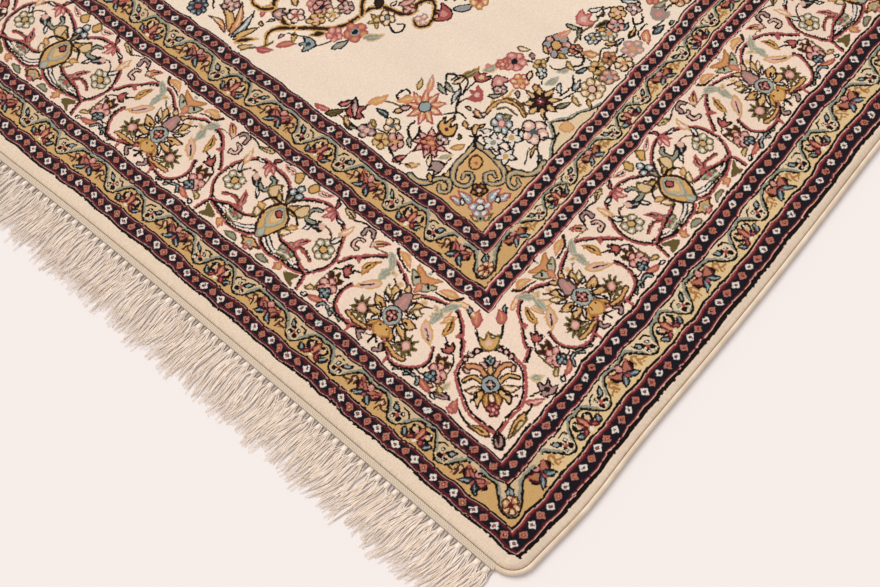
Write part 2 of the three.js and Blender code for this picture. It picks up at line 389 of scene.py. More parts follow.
# then what belongs to the heart scroll of the ringed palmette
heartSide = [
    # between the circle and the heart scroll
    ("vine", [(50, 30.6), (54.6, 37.4), (60, 43.4), (65.4, 48.6), (71, 51.4), (78.5, 52), (85.5, 50),
      (91.4, 46.6), (95.6, 43.8), (98.4, 42)], "red", "black", -1),
    ("leaf", (58.6, 41.4), (61.6, 38.4), 2.2, "red", "red", 0),
    ("stem", [(50.4, 21), (51.4, 25.4), (55.4, 28.6)], "black"),
    ("bud", 59.4, 30, 4, 20, "rose", "black", "salmon"),
    ("stem", [(62.4, 32.4), (66, 34), (69, 36)], "black"),
    ("leaf", (67.6, 33.6), (70.4, 46), 4.2, "gold", "ochre", 1.6, "darkBrown"),
    ("bud", 56.6, 21.4, 5, 90, "darkBrown", "brown", "gold"),
    ("flower", 56, 14.4, 6, 5, "pink", "maroon", "blush"),
    ("flower", 57.8, 10.4, 3.4, 4, "blue", "black", "greyBlue"),
    ("stem", [(50.6, 22), (49.6, 14), (50.6, 10)], "olive"),
    ("leaf", (46.4, 6.4), (51.6, 8.4), 3.2, "gold", "olive", 0.8),
    ("leaf", (51, 3), (62.6, 7), 3.2, "salmon", "red", -0.8),
    ("curl", [(60, 2.6), (62.6, 5.6), (67, 5), (69.6, 2.6)], 1, "greyBlue", "black", 0.8),
    ("curl", [(68, 5.6), (72, 4.6), (76, 2.4)], 0.9, "sage", "black", 0.6),
    ("leaf", (46.6, 2), (51, 3.4), 2.4, "white", "black"),
    ("stem", [(61.6, 9), (64, 8.6), (67, 9.4)], "black"),
    # the heart scroll's lower half and what it holds
    ("vine", [(67.4, 25), (65.2, 19.8), (65.8, 14), (68.8, 9.2), (73.6, 5.8), (79.4, 5), (85.6, 6.6),
      (90, 9.2), (94.4, 12.6)], "red", "black", -1), ("leaf", (91, 9), (94, 12.8), 2.4, "pink", "red"),
    ("leaf", (71.2, 53.6), (79.2, 43.4), 4, "sage", "paleSage", 1.2),
    ("leaf", (78.8, 47.6), (78.2, 34.6), 4.6, "sage", "paleSage", -0.9),
    ("leaf", (81, 36), (68.6, 24.6), 5.6, "blush", "gold", 0.4, "black"),
    ("leaf", (78.8, 44.4), (83.8, 46.6), 2.2, "sage", "sand"),
    ("star", 80.6, 17, 7.2, 9, "black", "olive", "blush", "pink", {"turn": 130, "width": 0.3}),
    ("curl", [(76.6, 9.4), (83, 8.4), (90.6, 9.6)], 1.8, "gold", "brown", 1.2),
    ("stem", [(77, 12.2), (82, 12.6), (87, 11.4)], "olive", 1.6),
    ("stem", [(84.4, 18), (87, 13.4), (91, 11.4), (95, 13)], "black"),
    ("stem", [(83.6, 43.8), (87.6, 41), (90.4, 37.4)], "black"),
    ("leaf", (90, 41.4), (88, 44.4), 2.8, "gold", "sand"),
    ("leaf", (75.4, 57.6), (86.6, 54.6), 4.2, "gold", "orange", 1.6),
    ("curl", [(73.4, 58.6), (76.6, 55), (82, 53.8), (88, 52.2)], 2, "darkBrown", None, 1),
    ("curl", [(92.6, 2.2), (89.6, 4.6), (91.6, 7)], 1.6, "mauve", "black", 1),
    ("stem", [(83.4, 1), (83.8, 4.4)], "red", 1.8),
    # half of the ringed palmette
    ("leaf", (93.8, 31), (86.8, 41.4), 6, "gold", "brown", -1.4),
    ("leaf", (90.6, 34), (84.4, 38.4), 3.6, "sand", "olive", 0.8),
    ("leaf", (92, 26.6), (81.6, 29), 5.6, "gold", "brown", 1),
    ("leaf", (92.6, 21.6), (83.4, 18.6), 5.4, "gold", "brown", -1),
    ("leaf", (94.6, 18.6), (90, 10.6), 5, "ochre", "brown", -0.8),
    ("leaf", (97.4, 41), (93.2, 45.8), 3.6, "gold", "brown", 0.6),
    ("leaf", (93.6, 31.6), (92.6, 40.4), 2.2, "white", "black", 0.3),
    ("leaf", (91.6, 30), (85.4, 33.4), 2, "white", "black"),
    ("leaf", (91.6, 23.6), (85.4, 23.4), 2, "white", "black"),
    ("leaf", (93.2, 20.8), (88.2, 14), 2.2, "white", "black"),
    ("leaf", (90.4, 26), (86.4, 26.4), 1.6, "black", None),
]
# motifs that sit on the drop palmette's axis
dropAxis = [
    ("leaf", (0, 38), (0, 47.4), 3.4, "olive", "darkBrown"),
    ("flower", 0, 49, 4.8, 3, "greyBlue", "black", "black", {"turn": 90}),
    ("shield", [(0, 38), (6.6, 33), (8.8, 26.6), (6.6, 19.6), (3, 14), (0, 12)], "gold", "darkBrown", 1.7),
    ("shield", [(0, 35.6), (4.8, 31), (5.4, 26.6), (0, 19.4)], "paleSage", "sage", 1.2),
    ("shield", [(0, 33.6), (3.2, 30), (3.2, 27), (0, 23)], "sand", "gold"),
    ("shield", [(0, 33.8), (2.4, 31), (0, 28.4)], "rose", "darkBrown"),
    ("shield", [(0, 19), (2.4, 15), (0, 12.6)], "paleSage", "sage"),
    ("shield", [(0, 9.6), (3.4, 8), (7.6, 6.8), (4, 5), (3.6, 2.6), (0, 4)], "gold", "brown", 1.3),
    ("shield", [(0, 7.2), (2, 5), (0, 3.6)], "paleSage", "sage"),
    ("shield", [(0, 4), (1.8, 2), (0, 0.8)], "pink", "red"),
]
# and on the ringed palmette's
ringAxis = [
    ("shield", [(0, 56.6), (3.4, 57.4), (8.8, 59.6), (5.4, 54.6), (2.4, 52.4), (0, 50.6)], "orange",
     "ochre"), ("flower", 0, 58.6, 3.6, 1, "greyBlue", "black", "greyBlue"),
    ("pair", "blob", [(0, 50), (3, 53), (9.4, 55), (6.4, 49.6), (1.6, 47)], "paleSage", "olive"),
    ("pair", "leaf", (5.8, 50.6), (3.4, 53.6), 2, "black", None),
    ("shield", [(0, 51), (2, 48), (0, 44)], "orange", "salmon"),
    ("shield", [(0, 42), (2.6, 40.6), (4.4, 33), (2.6, 30), (0, 29.6)], "mauve", "brown"),
    ("leaf", (0, 31), (0, 39.6), 2.2, "pink", None),
    ("shield", [(0, 19), (4.4, 17), (5, 13), (0, 9.6)], "gold", "ochre", 1.2),
    ("pair", "dot", 2.4, 16.4, 0.75, "black"), ("dot", 0, 25, 6.4, "black"),
    ("dot", 0, 24.8, 5.7, "greyBlue"), ("dot", 0, 24.8, 4.7, "paleSage"), ("dot", 0, 24.8, 3.4, "black"),
    ("flower", 0, 24.8, 3.2, 4, "rose", "black", "blush"), ("stem", [(0, 9.6), (0, 4)], "black", 1.6),
    ("stem", [(-4, 6.8), (0, 8.6), (4, 6.8)], "black", 1.4),
]

# half a repeat of the meander guards, from the three-leaved palmette (0) past the drop (22) to the
# looped one (39.4)
meanderPath = [
    (0, 12), (3.6, 12.9), (7.2, 13.2), (10.8, 12.4), (14, 9), (17.2, 5), (19.8, 2.7), (22.2, 2),
    (24.6, 2.6), (27.5, 5.4), (30.4, 9.4), (33.4, 12.6), (36.6, 13.2), (39.5, 12.2),
]
guardHalf = [
    ("meander", meanderPath, [(39.5, 16.5), (0, 16.5)]),
    # the drop's flower, leaf and hook
    ("flower", 22.2, 7.6, 4, 4, "black", "guardTan", "rose", {"turn": 45}),
    ("dot", 20.4, 5.2, 0.6, "white"), ("dot", 24.4, 9.6, 0.6, "white"),
    ("leaf", (20.4, 9.4), (16.2, 12.9), 2.8, "greyBlue", "black"),
    ("stem", [(28.2, 10.6), (26.4, 12.8), (22.8, 13.2)], "black"),
    # tendrils on the gold ground
    ("stem", [(8.6, 5.4), (8.8, 8.4), (10.8, 9.6), (12.4, 8.2), (11.2, 6.4)], "brown", 1.4),
    ("dot", 10.7, 7.8, 0.9, "blush"), ("stem", [(11.4, 5.8), (13.6, 4.8), (16, 4.6)], "brown", 1.4),
    ("stem", [(10.6, 5.6), (10.6, 3.2)], "brown", 1.4), ("dot", 12.6, 3.4, 0.7, "salmon"),
    ("stem", [(29.4, 5.2), (31, 3.4), (33, 4)], "brown", 1.4), ("dot", 31.2, 5.4, 0.7, "blush"),
]
guardLeaves = [
    ("pair", "stem", [(-6.9, 10.2), (-7.6, 7.6), (-5.4, 5.8)], "black", 2),
    ("pair", "leaf", (0.4, 4.6), (-7.6, 11.6), 5.4, "salmon", "maroon", 0, "brown"),
    ("pair", "dot", -6.8, 11.4, 1.1, "red"),
    ("pair", "leaf", (-0.8, 7.4), (-6.8, 1.6), 3.6, "teal", "navy", 0.6),
    ("leaf", (0, 7), (0, 3.2), 1.8, "rose", None), ("dot", 0, 11.4, 2.6, "black"),
    ("dot", 0, 11.2, 1.9, "pink"), ("dot", 0.4, 11.8, 0.6, "blush"),
]
guardLoops = [
    ("pair", "leaf", (-5.8, 1.4), (-9.4, 5.8), 3.4, "teal", "navy"),
    ("pair", "blob", [(-1.4, 7.6), (-3.4, 10.2), (-6.4, 9), (-5.6, 6), (-3, 5.4)], "sand", "black", 1.9),
    ("pair", "leaf", (0, 4.6), (-4, 8), 2.4, "pink", None),
    ("leaf", (0, 11.4), (0, 1.8), 4, "salmon", "maroon"),
    ("pair", "leaf", (-2, 4.4), (-5.6, 1.2), 2.4, "red", "maroon"), ("dot", 0, 2.2, 1.1, "white"),
    ("pair", "dot", -4.6, 10, 0.6, "white"),
]
# where the guard turns: a rounded loop over the mitre with its flower, as far from the guard's outer corner
guardTurn = [
    (32.6, 12), (29, 12.9), (25.4, 13.2), (21.8, 12.2), (18.4, 9), (14.4, 5), (10, 2.8), (5.4, 2.6),
    (2.6, 5.4), (2.8, 10), (5, 14.4), (9, 18.4), (12.2, 21.8), (13.2, 25.4), (12.9, 29), (12, 32.6),
]
guardTurnFlower = [
    ("leaf", (11.4, 11.4), (15.8, 15.8), 4.6, "greyBlue", "black", 0, "teal"),
    ("flower", 8.4, 8.4, 5.2, 6, "orange", "brown", "maroon", {"turn": 45}),
]


def meander(pen, points, inner, side=1):
    # tan ground between the line and the inner points, and the line itself, black beside sage
    path = smooth(points)
    pen.fill(np.vstack([path, inner]), "guardTan")
    pen.line(beside(path, 1.3 * side), 1.6, "sage")
    pen.line(path, 1.35, "black")


shapes["meander"] = meander
guardRepeat = {"length": 78.86, "depth": 15, "turn": 32.6}  # as the rows above measure them
# the side guards' paler wools are painted light, the side standing brighter lit than the end
paintedLightSwaps = {"guardTan": "paleGold", "brown": "ochre", "teal": "blue"}  # the side guards are paler


def guard(corner, name, endFirst, endPeriod, sideFirst, sidePeriod):
    (x0, x1), (y0, y1) = bands[name]
    end = corner.moved(0, y0)
    # the side guard takes paler wools and a paler gold ground than the end: painted light
    side = corner.flipped(x0, 0, paintedLightSwaps)
    corner.fill([(x0, y0 + 30), (x1, y1 + 24), (x1, quarter["length"]), (x0, quarter["length"])], "sideGold")
    for pen, first, period, stop, depth in (
        (end, endFirst, endPeriod, centreX, y1 - y0), (side, sideFirst, sidePeriod, centreY, x1 - x0)
    ):
        size, high = period / guardRepeat["length"], depth / guardRepeat["depth"]
        count = math.ceil((stop - first) / period - 0.01)
        for k in range(count + 1):
            for way in (1, -1):
                if k or way > 0:
                    weave(pen.moved(first + k * period, 0, 0, way * size, high), guardHalf)
        for k in range(count + 1):
            weave(pen.moved(first + k * period, 0, 0, size, high), guardLeaves)
            weave(pen.moved(first + (k + 0.5) * period, 0, 0, size, high), guardLoops)
    # the loop at the turn sits square to the mitre
    turn = corner.moved(
        x0, y0, 0, (endFirst - x0) / guardRepeat["turn"], (sideFirst - y0) / guardRepeat["turn"]
    )
    meander(turn, guardTurn, [(12, 40), (20, 40), (40, 20), (40, 12)], -1)
    weave(turn, guardTurnFlower)


# the egg-shaped frame at the turn of the border, from its middle, the first axis towards the outer corner
eggHalf = [
    (31, 0), (30.6, 0.2), (26.6, 3.6), (21.4, 9.4), (14.6, 15.2), (4, 19.4), (-8, 19), (-16.6, 12.6),
    (-20.6, 0),
]
turnLeaves = [
    ("vine", [(73.6, 98), (71, 93), (69.4, 88.6)], "red", "black", -1),
    # from the outer corner of the guards, in steps along the end and along the side
    ("leaf", (95, 85.4), (90.4, 89.4), 4, "blush", "black"),
    ("bud", 92, 84.6, 6.4, 45, "gold", "olive", "blush"),
    ("stem", [(97.4, 81.6), (104.6, 87.6), (112, 91)], "black", 1.4),
    ("stem", [(88, 90.6), (93.4, 98.4), (97, 105.6)], "black", 1.4),
    ("leaf", (102.4, 87.4), (109, 96.4), 5.4, "salmon", "red", -1),
    ("leaf", (94, 97), (101.6, 103.4), 5.4, "salmon", "red", 1),
    ("curl", [(127, 78), (122, 83), (123, 90), (116, 93), (109, 92)], 2.4, "paleGold", "orange", 1.2),
    ("curl", [(81, 126), (86, 122), (93, 123), (96, 116), (95, 109)], 2.4, "paleGold", "orange", 1.2),
    ("leaf", (116, 84), (120, 76), 3.6, "paleGold", "orange", 0.8, "gold"),
    ("leaf", (87, 116), (79, 119), 3.6, "paleGold", "orange", -0.8, "gold"),
    ("leaf", (111, 91), (114.4, 94.2), 2.8, "greyBlue", "black"),
    ("leaf", (97.6, 104.6), (100, 108), 2.8, "greyBlue", "black"),
    ("bud", 49.6, 84.6, 5.6, 60, "mauve", "black", "darkBrown"),
    ("leaf", (60.6, 83), (55.6, 89.4), 4.4, "sage", "sand", 0.6),
    ("stem", [(54, 75), (51.4, 80), (50, 83)], "black"),
    ("leaf", (54.4, 70.4), (46.6, 79), 3.4, "pink", "red", 1),
    ("stem", [(50.8, 72), (49.4, 66), (49.8, 60)], "black", 1.5),
    ("leaf", (50.6, 66.6), (48.4, 47.6), 4.6, "gold", "brown", -1, "brown"),
    ("leaf", (46.8, 64), (46.4, 52), 2.2, "sand", "olive", 0.6),
    ("blob", [(54.6, 46.8), (50.8, 47), (47.6, 44.4), (47.4, 41), (50.8, 39.8), (54.4, 42.6)], "mauve",
     "black", 1.6), ("leaf", (55, 47), (49, 41.4), 2.8, "darkBrown", None),
    ("leaf", (56, 48), (53, 45), 1.8, "salmon", "black"),
    ("leaf", (56.6, 42.6), (70, 39.6), 4.6, "gold", "brown", 1, "brown"),
    ("stem", [(70, 40.6), (76, 41.4), (80, 43)], "black", 1.4),
    ("leaf", (80.6, 38.6), (84.6, 46), 5, "salmon", "red", -0.8),
    ("leaf", (86, 38.8), (80, 39.6), 2.4, "pink", "red"),
    ("leaf", (87.4, 43.6), (99, 39.6), 4.4, "mauve", "black", 1.2, "darkBrown"),
    ("leaf", (95.6, 46), (94, 52.6), 3.2, "sage", "sand", 0.4),
    ("leaf", (99.6, 44), (104.4, 41.4), 3, "sand", "brown"),
]
# half of the palmette inside the egg, its axis pointing at the field, and then what sits on the axis
eggPalmetteHalf = [
    ("leaf", (9, 1.4), (12.6, 6), 3.4, "mauve", "darkBrown", 0.6),
    ("curl", [(4, 3), (8.6, 6.6), (10.6, 11.4), (8.6, 13.6)], 2, "orange", "brown", 2.4),
    ("leaf", (5.6, 12.4), (10.4, 15), 2.4, "blush", "brown"),
    ("curl", [(1, 5), (3.4, 10), (1.4, 15.6)], 1.8, "gold", "darkBrown", 1),
    ("leaf", (-2, 5.2), (-3.6, 16.4), 3.8, "sand", "brown", 1.6),
    ("leaf", (-4.4, 3.4), (-13.6, 9.4), 5, "gold", "darkBrown", -1.6),
    ("leaf", (-5.4, 1.6), (-15.6, 3.6), 4.6, "ochre", "brown", -0.6),
    ("stem", [(-3.4, 5), (-8.4, 9.6), (-9, 13.4)], "black"),
]
eggPalmetteAxis = [
    ("bud", 12.6, 0, 3.4, 0, "greyBlue", "black", "teal"), ("leaf", (4.6, 0), (10, 0), 4, "gold", "brown"),
    ("leaf", (-5.6, 0), (-15, 0), 3.6, "sand", "brown"),
    ("flower", -16, 0, 3.6, 5, "rose", "maroon", "blush", {"turn": 0}), ("dot", -0.4, 0, 5.6, "black"),
    ("dot", -0.4, 0, 4.8, "greyBlue"), ("dot", -0.4, 0, 2.8, "black"),
    ("flower", -0.4, 0, 2.2, 4, "mauve", "black", "blush"),
]


def borderTurn(corner):
    # the egg on the mitre, its scallops, and what fills the corner round it
    (x0, x1), (y0, y1) = bands["border"]
    middle = ((x0 + x1) / 2 + 1.5, (y0 + y1) / 2 - 0.5)
    egg = corner.moved(*middle, 225)
    outline = smooth(eggHalf + [(u, -v) for u, v in eggHalf[-2:0:-1]], closed=True)
    closed = np.vstack([outline, outline[:1]])
    egg.line(beside(closed, 1.6), 1.2, "black")
    egg.line(closed, 1.8, "red")
    # dark double scallops on the side of the field
    for turn in np.linspace(-42, 42, 8):
        scallop = egg.moved(0, 0, 180 + turn)
        scallop.disc(20.4, 0, 2.2, "black")
        scallop.disc(20.2, 0, 1.0, "blush")
    weave(corner, turnLeaves)
    for high in (1, -1):
        weave(corner.moved(*middle, 45, 1, high), eggPalmetteHalf)
    weave(corner.moved(*middle, 45), eggPalmetteAxis)


# the corner panel of the field: drawn once and mirrored over the diagonal
panelHalf = [
    ("coil", [(182, 178), (182.4, 169), (181.6, 160.6), (178.6, 153.6), (173.4, 150.4), (168, 152.6),
      (166.8, 157.6), (170.4, 161), (174, 158.4), (172.6, 155.8)], 3, 1.6),
    ("coil", [(199, 137.8), (191, 138.6), (186.4, 141.6), (183.4, 146.4), (178.6, 149), (174, 146.4),
      (174, 141.8), (178, 140.4), (180, 143)], 3, 1.6),
    ("stem", [(181, 178), (184, 182), (188, 181)], "black", 1.6),
    ("leaf", (170, 141), (164, 146), 3.4, "apricot", "black", 1),
    ("leaf", (160, 143), (170, 141.4), 4.6, "greyBlue", "red", 0.6),
    ("leaf", (156, 146), (168.4, 147.6), 5.6, "greyBlue", "red", 1),
    ("leaf", (160, 142.4), (163.6, 146), 3, "white", "black"),
    ("leaf", (146, 140.4), (152.4, 139.4), 2.6, "sand", "olive"),
]
panelAxis = [
    ("blob", [(171.6, 172.6), (170, 167), (173.4, 163.6), (176.8, 165.8), (178.6, 170.2), (176, 173.4)],
     "gold", "brown", 1.3), ("dot", 174, 168.6, 1.3, "red"),
    ("flower", 150.6, 147.4, 6.4, 5, "greyBlue", "red", "white", {"turn": 45, "heartEdge": "black"}),
    ("flower", 159.6, 156.6, 4.6, 5, "brown", "black", "blush", {"turn": 225}),
    ("dot", 146, 142.6, 2, "sage"), ("dot", 146, 142.6, 1, "black"),
]
panelOutline = [
    (136, 133), (198, 133), (192, 140), (186, 140.6), (184, 146), (182.6, 152), (182.6, 160), (182.8, 170),
    (183, 178), (182, 180), (172, 179.8), (162, 179.6), (155, 179.6), (149, 181), (143.6, 183), (143, 189),
    (139, 196), (136, 196),
]
sidePanel = [
    (136, 248), (143.6, 241), (146.8, 236), (147.4, 230), (151.6, 224.6), (155.6, 219.6), (151, 217),
    (146.6, 214), (143.6, 208), (139, 202), (136, 200),
]

# blossoms and leaves of the spray, in steps from the outer corner of the guards
spray = [
    # stems first
    ("stem", [(159, 202), (158, 214), (160, 220)], "black"),
    ("stem", [(152, 202), (146, 198), (143, 192)], "black"),
    ("stem", [(204, 184), (210, 194.6), (214, 203), (222, 210), (228, 208), (227, 204)], "black", 1.5),
    ("stem", [(210, 195), (206, 204)], "black"), ("stem", [(212, 199), (211, 208), (210, 216)], "black"),
    ("stem", [(204, 172), (204, 164), (207, 156), (210, 148), (209, 140)], "black"),
    ("stem", [(196, 165), (189, 164), (186.6, 157), (188, 150)], "black"),
    ("stem", [(240, 172), (244, 176), (242, 181.6), (237.6, 180.6), (238.6, 177)], "black", 1.4),
    ("stem", [(234, 171), (246, 168), (251, 162), (252.6, 156)], "olive", 1.4),
    ("stem", [(229, 151), (238, 148), (250, 142.6), (262, 142)], "black"),
    ("stem", [(187, 255), (192, 247), (197, 245)], "black"),
    ("stem", [(187, 254), (184, 246), (178, 238)], "black"),
    ("stem", [(177, 265), (170, 268), (163, 270), (156, 263), (152, 259)], "black"),
    ("stem", [(181, 275), (181, 284), (180, 292), (181, 303)], "olive", 1.6),
    ("stem", [(150, 288), (152, 276), (153, 262)], "black", 1.3),
    ("stem", [(161, 238), (158, 246), (154, 250)], "black"),
    ("stem", [(189, 222), (188, 213), (193, 216), (191.6, 205)], "gold", 1.6),
    ("stem", [(189, 214), (183, 218), (176, 218), (170, 214)], "olive", 1.5),
    ("stem", [(154, 197), (152, 191), (150.6, 187)], "black"),
    ("stem", [(160, 318), (156, 313), (159, 309), (163, 312)], "black", 1.5),
    ("stem", [(145, 340), (150, 330), (147, 320), (148, 312)], "black", 1.3),
    # along the end
    ("leaf", (280, 139.4), (268, 142.4), 3.4, "rose", "red", 0.6),
    ("leaf", (270, 138.6), (262, 148.6), 5, "olive", "black", 1, "brown"),
    ("leaf", (256, 139), (246, 142.6), 3.4, "darkBrown", "black", 0.6, "sage"),
    ("bud", 256, 151, 7, 120, "rose", "black", "blush"),
    ("leaf", (262, 158), (252, 146), 4, "mauve", "black", 1),
    ("leaf", (253, 160), (248.6, 172.6), 5, "gold", "orange", 1.4),
    ("leaf", (236, 158.6), (246, 160.6), 4, "teal", "navy", 0.8, "greyBlue"),
    ("leaf", (236.4, 164), (233.6, 171.6), 3.8, "gold", "black"),
    ("flower", 230, 157, 5.6, 5, "sand", "black", "blue"),
    ("flower", 221.6, 150, 6, 5, "pink", "black", "gold"),
    ("flower", 229, 144.4, 5.4, 5, "gold", "olive", "maroon"),
    ("flower", 241, 144.6, 5.6, 4, "mauve", "black", "blush"),
    ("leaf", (214, 139.6), (210, 147.6), 4.6, "rose", "darkBrown", 0.6),
    ("leaf", (206, 141), (199, 147.6), 3.4, "gold", "ochre", 0.6),
    ("star", 204, 163, 11.6, 9, "pink", "maroon", "gold", "red", {"width": 0.4}),
    ("flower", 204, 163, 6, 6, "salmon", "maroon", "gold", {"heartEdge": "red"}),
    ("flower", 200.6, 169.6, 4, 4, "mauve", "black", "white"),
    ("leaf", (193, 168), (187, 174.6), 4.2, "gold", "ochre", 0.8),
    ("leaf", (193, 158), (188, 164.6), 4, "sage", "sand", 0.6),
    ("bud", 190, 152, 5.6, -60, "mauve", "black", "sage"),
    # the long-petalled star and its neighbours
    ("star", 224, 180.6, 13, 9, "orange", "red", "greyBlue", "black", {"width": 0.36}),
    ("leaf", (241, 172), (232.6, 182), 4, "gold", "orange", 0.6),
    ("leaf", (236, 186), (240, 194), 3.4, "gold", "olive", 0.6),
    ("leaf", (230, 189), (236, 200), 4, "orange", "pink", 0.8),
    ("leaf", (229, 199), (219, 196), 3.6, "sage", "black", 0.8),
    ("blob", [(196.6, 176), (200, 183.6), (202, 178.6), (204.4, 186), (206.4, 178.6), (209, 182.6),
      (209, 175), (203, 171.6)], "gold", "darkBrown", 1.4), ("dot", 203, 176, 1.4, "maroon"),
    ("leaf", (196, 194), (190, 200.6), 3.6, "greyBlue", "black", 0.6),
    ("leaf", (193, 184.6), (187, 193), 3.4, "ochre", "black", 0.8),
    ("leaf", (199, 188), (193, 184.6), 3, "gold", "brown"),
    ("leaf", (186, 187.6), (181, 192.6), 3, "white", "black", 0.6),
    ("leaf", (222, 204), (217, 213), 3.6, "sand", "black", 0.6),
    # white stars over the panel
    ("star", 167.6, 196.6, 7.6, 5, "white", "black", "gold", "white", {"width": 0.62}),
    ("star", 175, 186.4, 7.4, 5, "white", "black", "sage", "white", {"width": 0.62, "turn": 60}),
    ("star", 162.6, 184.4, 7, 5, "white", "black", "gold", "white", {"width": 0.62, "turn": 20}),
    ("flower", 178.4, 200, 7.4, 6, "greyBlue", "black", "blush", {"heartEdge": "red"}),
    ("flower", 159, 208, 8.6, 5, "blush", "black", "blue", {"slim": 1.1}),
    ("leaf", (151, 202), (149.6, 193), 2.8, "gold", "black", 0.8), ("dot", 145, 197.6, 1.8, "teal"),
    # up the side
    ("bud", 204, 206.6, 5.6, 0, "rose", "red", "blush"), ("bud", 210, 219, 5.4, 80, "red", "black", "sand"),
    ("leaf", (219, 211), (216, 223), 4.6, "olive", "ochre", 0.8),
    ("leaf", (213, 223), (207, 232.6), 5, "sage", "sand", 0.8), ("dot", 212.6, 227.6, 2, "pink"),
    ("bud", 199, 222.6, 6, 200, "pink", "maroon", "blush"),
    ("flower", 195, 218.6, 3.6, 4, "mauve", "black", "white"),
    ("flower", 201.6, 240, 7.6, 6, "pink", "red", "navy"),
    ("flower", 206, 234, 4, 5, "salmon", "red", "blush"),
    ("flower", 189, 230, 6, 6, "orange", "red", "gold"),
    ("leaf", (187, 223), (182.6, 220.6), 3, "mauve", "black"),
    ("leaf", (208, 250), (200, 253), 3.6, "sand", "olive", 1),
    ("leaf", (198, 252), (194, 247.6), 3, "mauve", "brown"),
    ("flower", 188, 247, 4, 5, "gold", "olive", "brown"),
    ("flower", 183, 243.6, 3.6, 5, "greyBlue", "black", "white"),
    ("leaf", (189, 240), (184.6, 234), 3.4, "sand", "black", 0.6),
    ("star", 169.8, 227.6, 12.6, 8, "gold", "brown", "blush", "maroon", {"width": 0.34}),
    ("star", 169.8, 227.6, 8, 8, "darkBrown", "black", "blush", "maroon", {"width": 0.3, "turn": 67}),
    ("dot", 169.8, 227.6, 2.6, "blush"), ("flower", 169.8, 227.6, 2, 4, "red", "maroon", "white"),
    ("leaf", (176, 239), (173, 248.6), 4.4, "sage", "paleSage", 0.6),
    ("leaf", (176, 251), (171, 258.6), 3.8, "sage", "paleSage", 0.6),
    ("flower", 187.4, 265, 10.6, 9, "pink", "black", "gold", {"heartEdge": "black"}),
    ("bluePetals", 187.4, 265, 10.6), ("flower", 177, 271, 4, 5, "salmon", "black", "white"),
    ("leaf", (160, 229), (156, 238.6), 3.8, "olive", "black", 0.6),
    ("leaf", (158, 243), (150, 241), 3.6, "gold", "olive", 1),
    ("flower", 150.4, 254.6, 8.6, 7, "sand", "olive", "blush", {"heartEdge": "black"}),
    ("leaf", (160, 246), (161, 254.6), 4, "greyBlue", "black", 0.5),
    ("leaf", (166, 257), (162, 265), 3.2, "blue", "black", 0.8),
    ("leaf", (175, 261), (167, 258), 3.2, "gold", "olive", 1),
    ("flower", 157.6, 268.6, 5.2, 5, "gold", "olive", "black"),
    ("flower", 147.6, 268, 5.6, 5, "pink", "olive", "greyBlue"),
    ("leaf", (172, 272), (163, 277), 4.4, "orange", "ochre", 1),
    ("flower", 155.6, 279, 4.6, 5, "salmon", "olive", "navy"),
    ("flower", 146, 281, 5.6, 5, "sand", "black", "orange"),
    ("flower", 172.4, 284, 4.8, 6, "greyBlue", "black", "gold"),
    ("leaf", (192, 270), (188, 279.6), 4, "pink", "orange", 0.8),
    ("leaf", (193, 281), (184, 284), 3.2, "sage", "black", 0.8),
    ("bud", 186.6, 292, 6.4, 100, "pink", "rose", "blush"),
    ("leaf", (189, 298), (184, 307), 3.6, "white", "black", 1),
    ("leaf", (177, 292), (174, 302), 3.4, "navy", "olive", 0.6),
    ("flower", 167.4, 292.4, 5.6, 6, "paleSage", "olive", "orange"),
    ("flower", 168.4, 300.6, 5.6, 5, "pink", "black", "greyBlue"),
    ("flower", 173.6, 308.6, 5.2, 5, "gold", "black", "blush"),
    ("leaf", (164, 307), (162, 302), 3.4, "teal", "navy"),
    ("flower", 149.4, 293, 6.4, 5, "pink", "sage", "gold"),
    ("leaf", (156, 298), (158.6, 308), 3.6, "darkBrown", "black", 0.6, "gold"),
    ("leaf", (151, 309), (143.6, 301), 5.4, "orange", "rose", 0.8),
    ("leaf", (145.6, 309), (144, 318), 4.4, "blue", "black", 0.4),
    ("leaf", (159, 288), (158.6, 296), 3, "navy", "black", 0, "white"),
    ("flower", 167, 318, 5, 5, "mauve", "black", "white"),
    ("leaf", (177, 318), (168, 324), 3.6, "greyBlue", "black", 0.8),
    # small leaves and tendrils between them
    ("leaf", (236.6, 169), (231.6, 175), 3.6, "mauve", "black", 0.8),
    ("leaf", (226.6, 203), (216, 199.4), 3.4, "sage", "black", 1),
    ("leaf", (215, 205), (212.4, 192), 3.4, "greyBlue", "black", 0.8),
    ("stem", [(224, 206), (220, 212), (214, 211), (212, 203)], "black", 1.3),
    ("leaf", (198.4, 199), (190.6, 196), 3.4, "orange", "brown", 0.8),
    ("leaf", (191.6, 190.6), (186, 183), 3.4, "gold", "black", 0.6),
    ("curl", [(191.4, 200.6), (190.4, 208), (186, 214), (178.4, 216), (170.4, 213)], 1.6, "gold", "brown",
     1), ("stem", [(187, 206), (182, 210.6), (174, 210.8)], "olive", 1.6),
    ("leaf", (197, 211), (191, 216), 3.2, "sage", "black", 0.6),
    ("stem", [(159, 220), (163, 222)], "black", 1.4),
    ("leaf", (166, 204.6), (161.6, 200), 3, "white", "black", 0.6),
    ("stem", [(178.4, 271), (170, 269.6), (166, 264.6), (169, 260.4)], "black", 1.6),
    ("leaf", (194, 260.4), (188.6, 256), 3, "sand", "brown", 0.6),
    ("leaf", (183, 262), (176, 263), 3, "gold", "olive", 0.6),
    ("stem", [(172, 258), (178, 252), (183, 251)], "brown", 1.3),
    ("stem", [(181.6, 299), (179.4, 303), (182.6, 305.6), (180, 310)], "black", 1.4),
    ("leaf", (184, 286), (178.4, 279), 3.4, "olive", "black", 0.8),
    ("leaf", (153.4, 331), (149.6, 323), 3.2, "sage", "black", 0.6),
    ("leaf", (164, 285), (159.6, 291), 3, "gold", "black", 0.6),
    ("stem", [(163, 292), (158, 289), (154, 284.6)], "brown", 1.2),
    ("leaf", (180, 236), (176.6, 231.6), 3, "gold", "brown", 0.6),
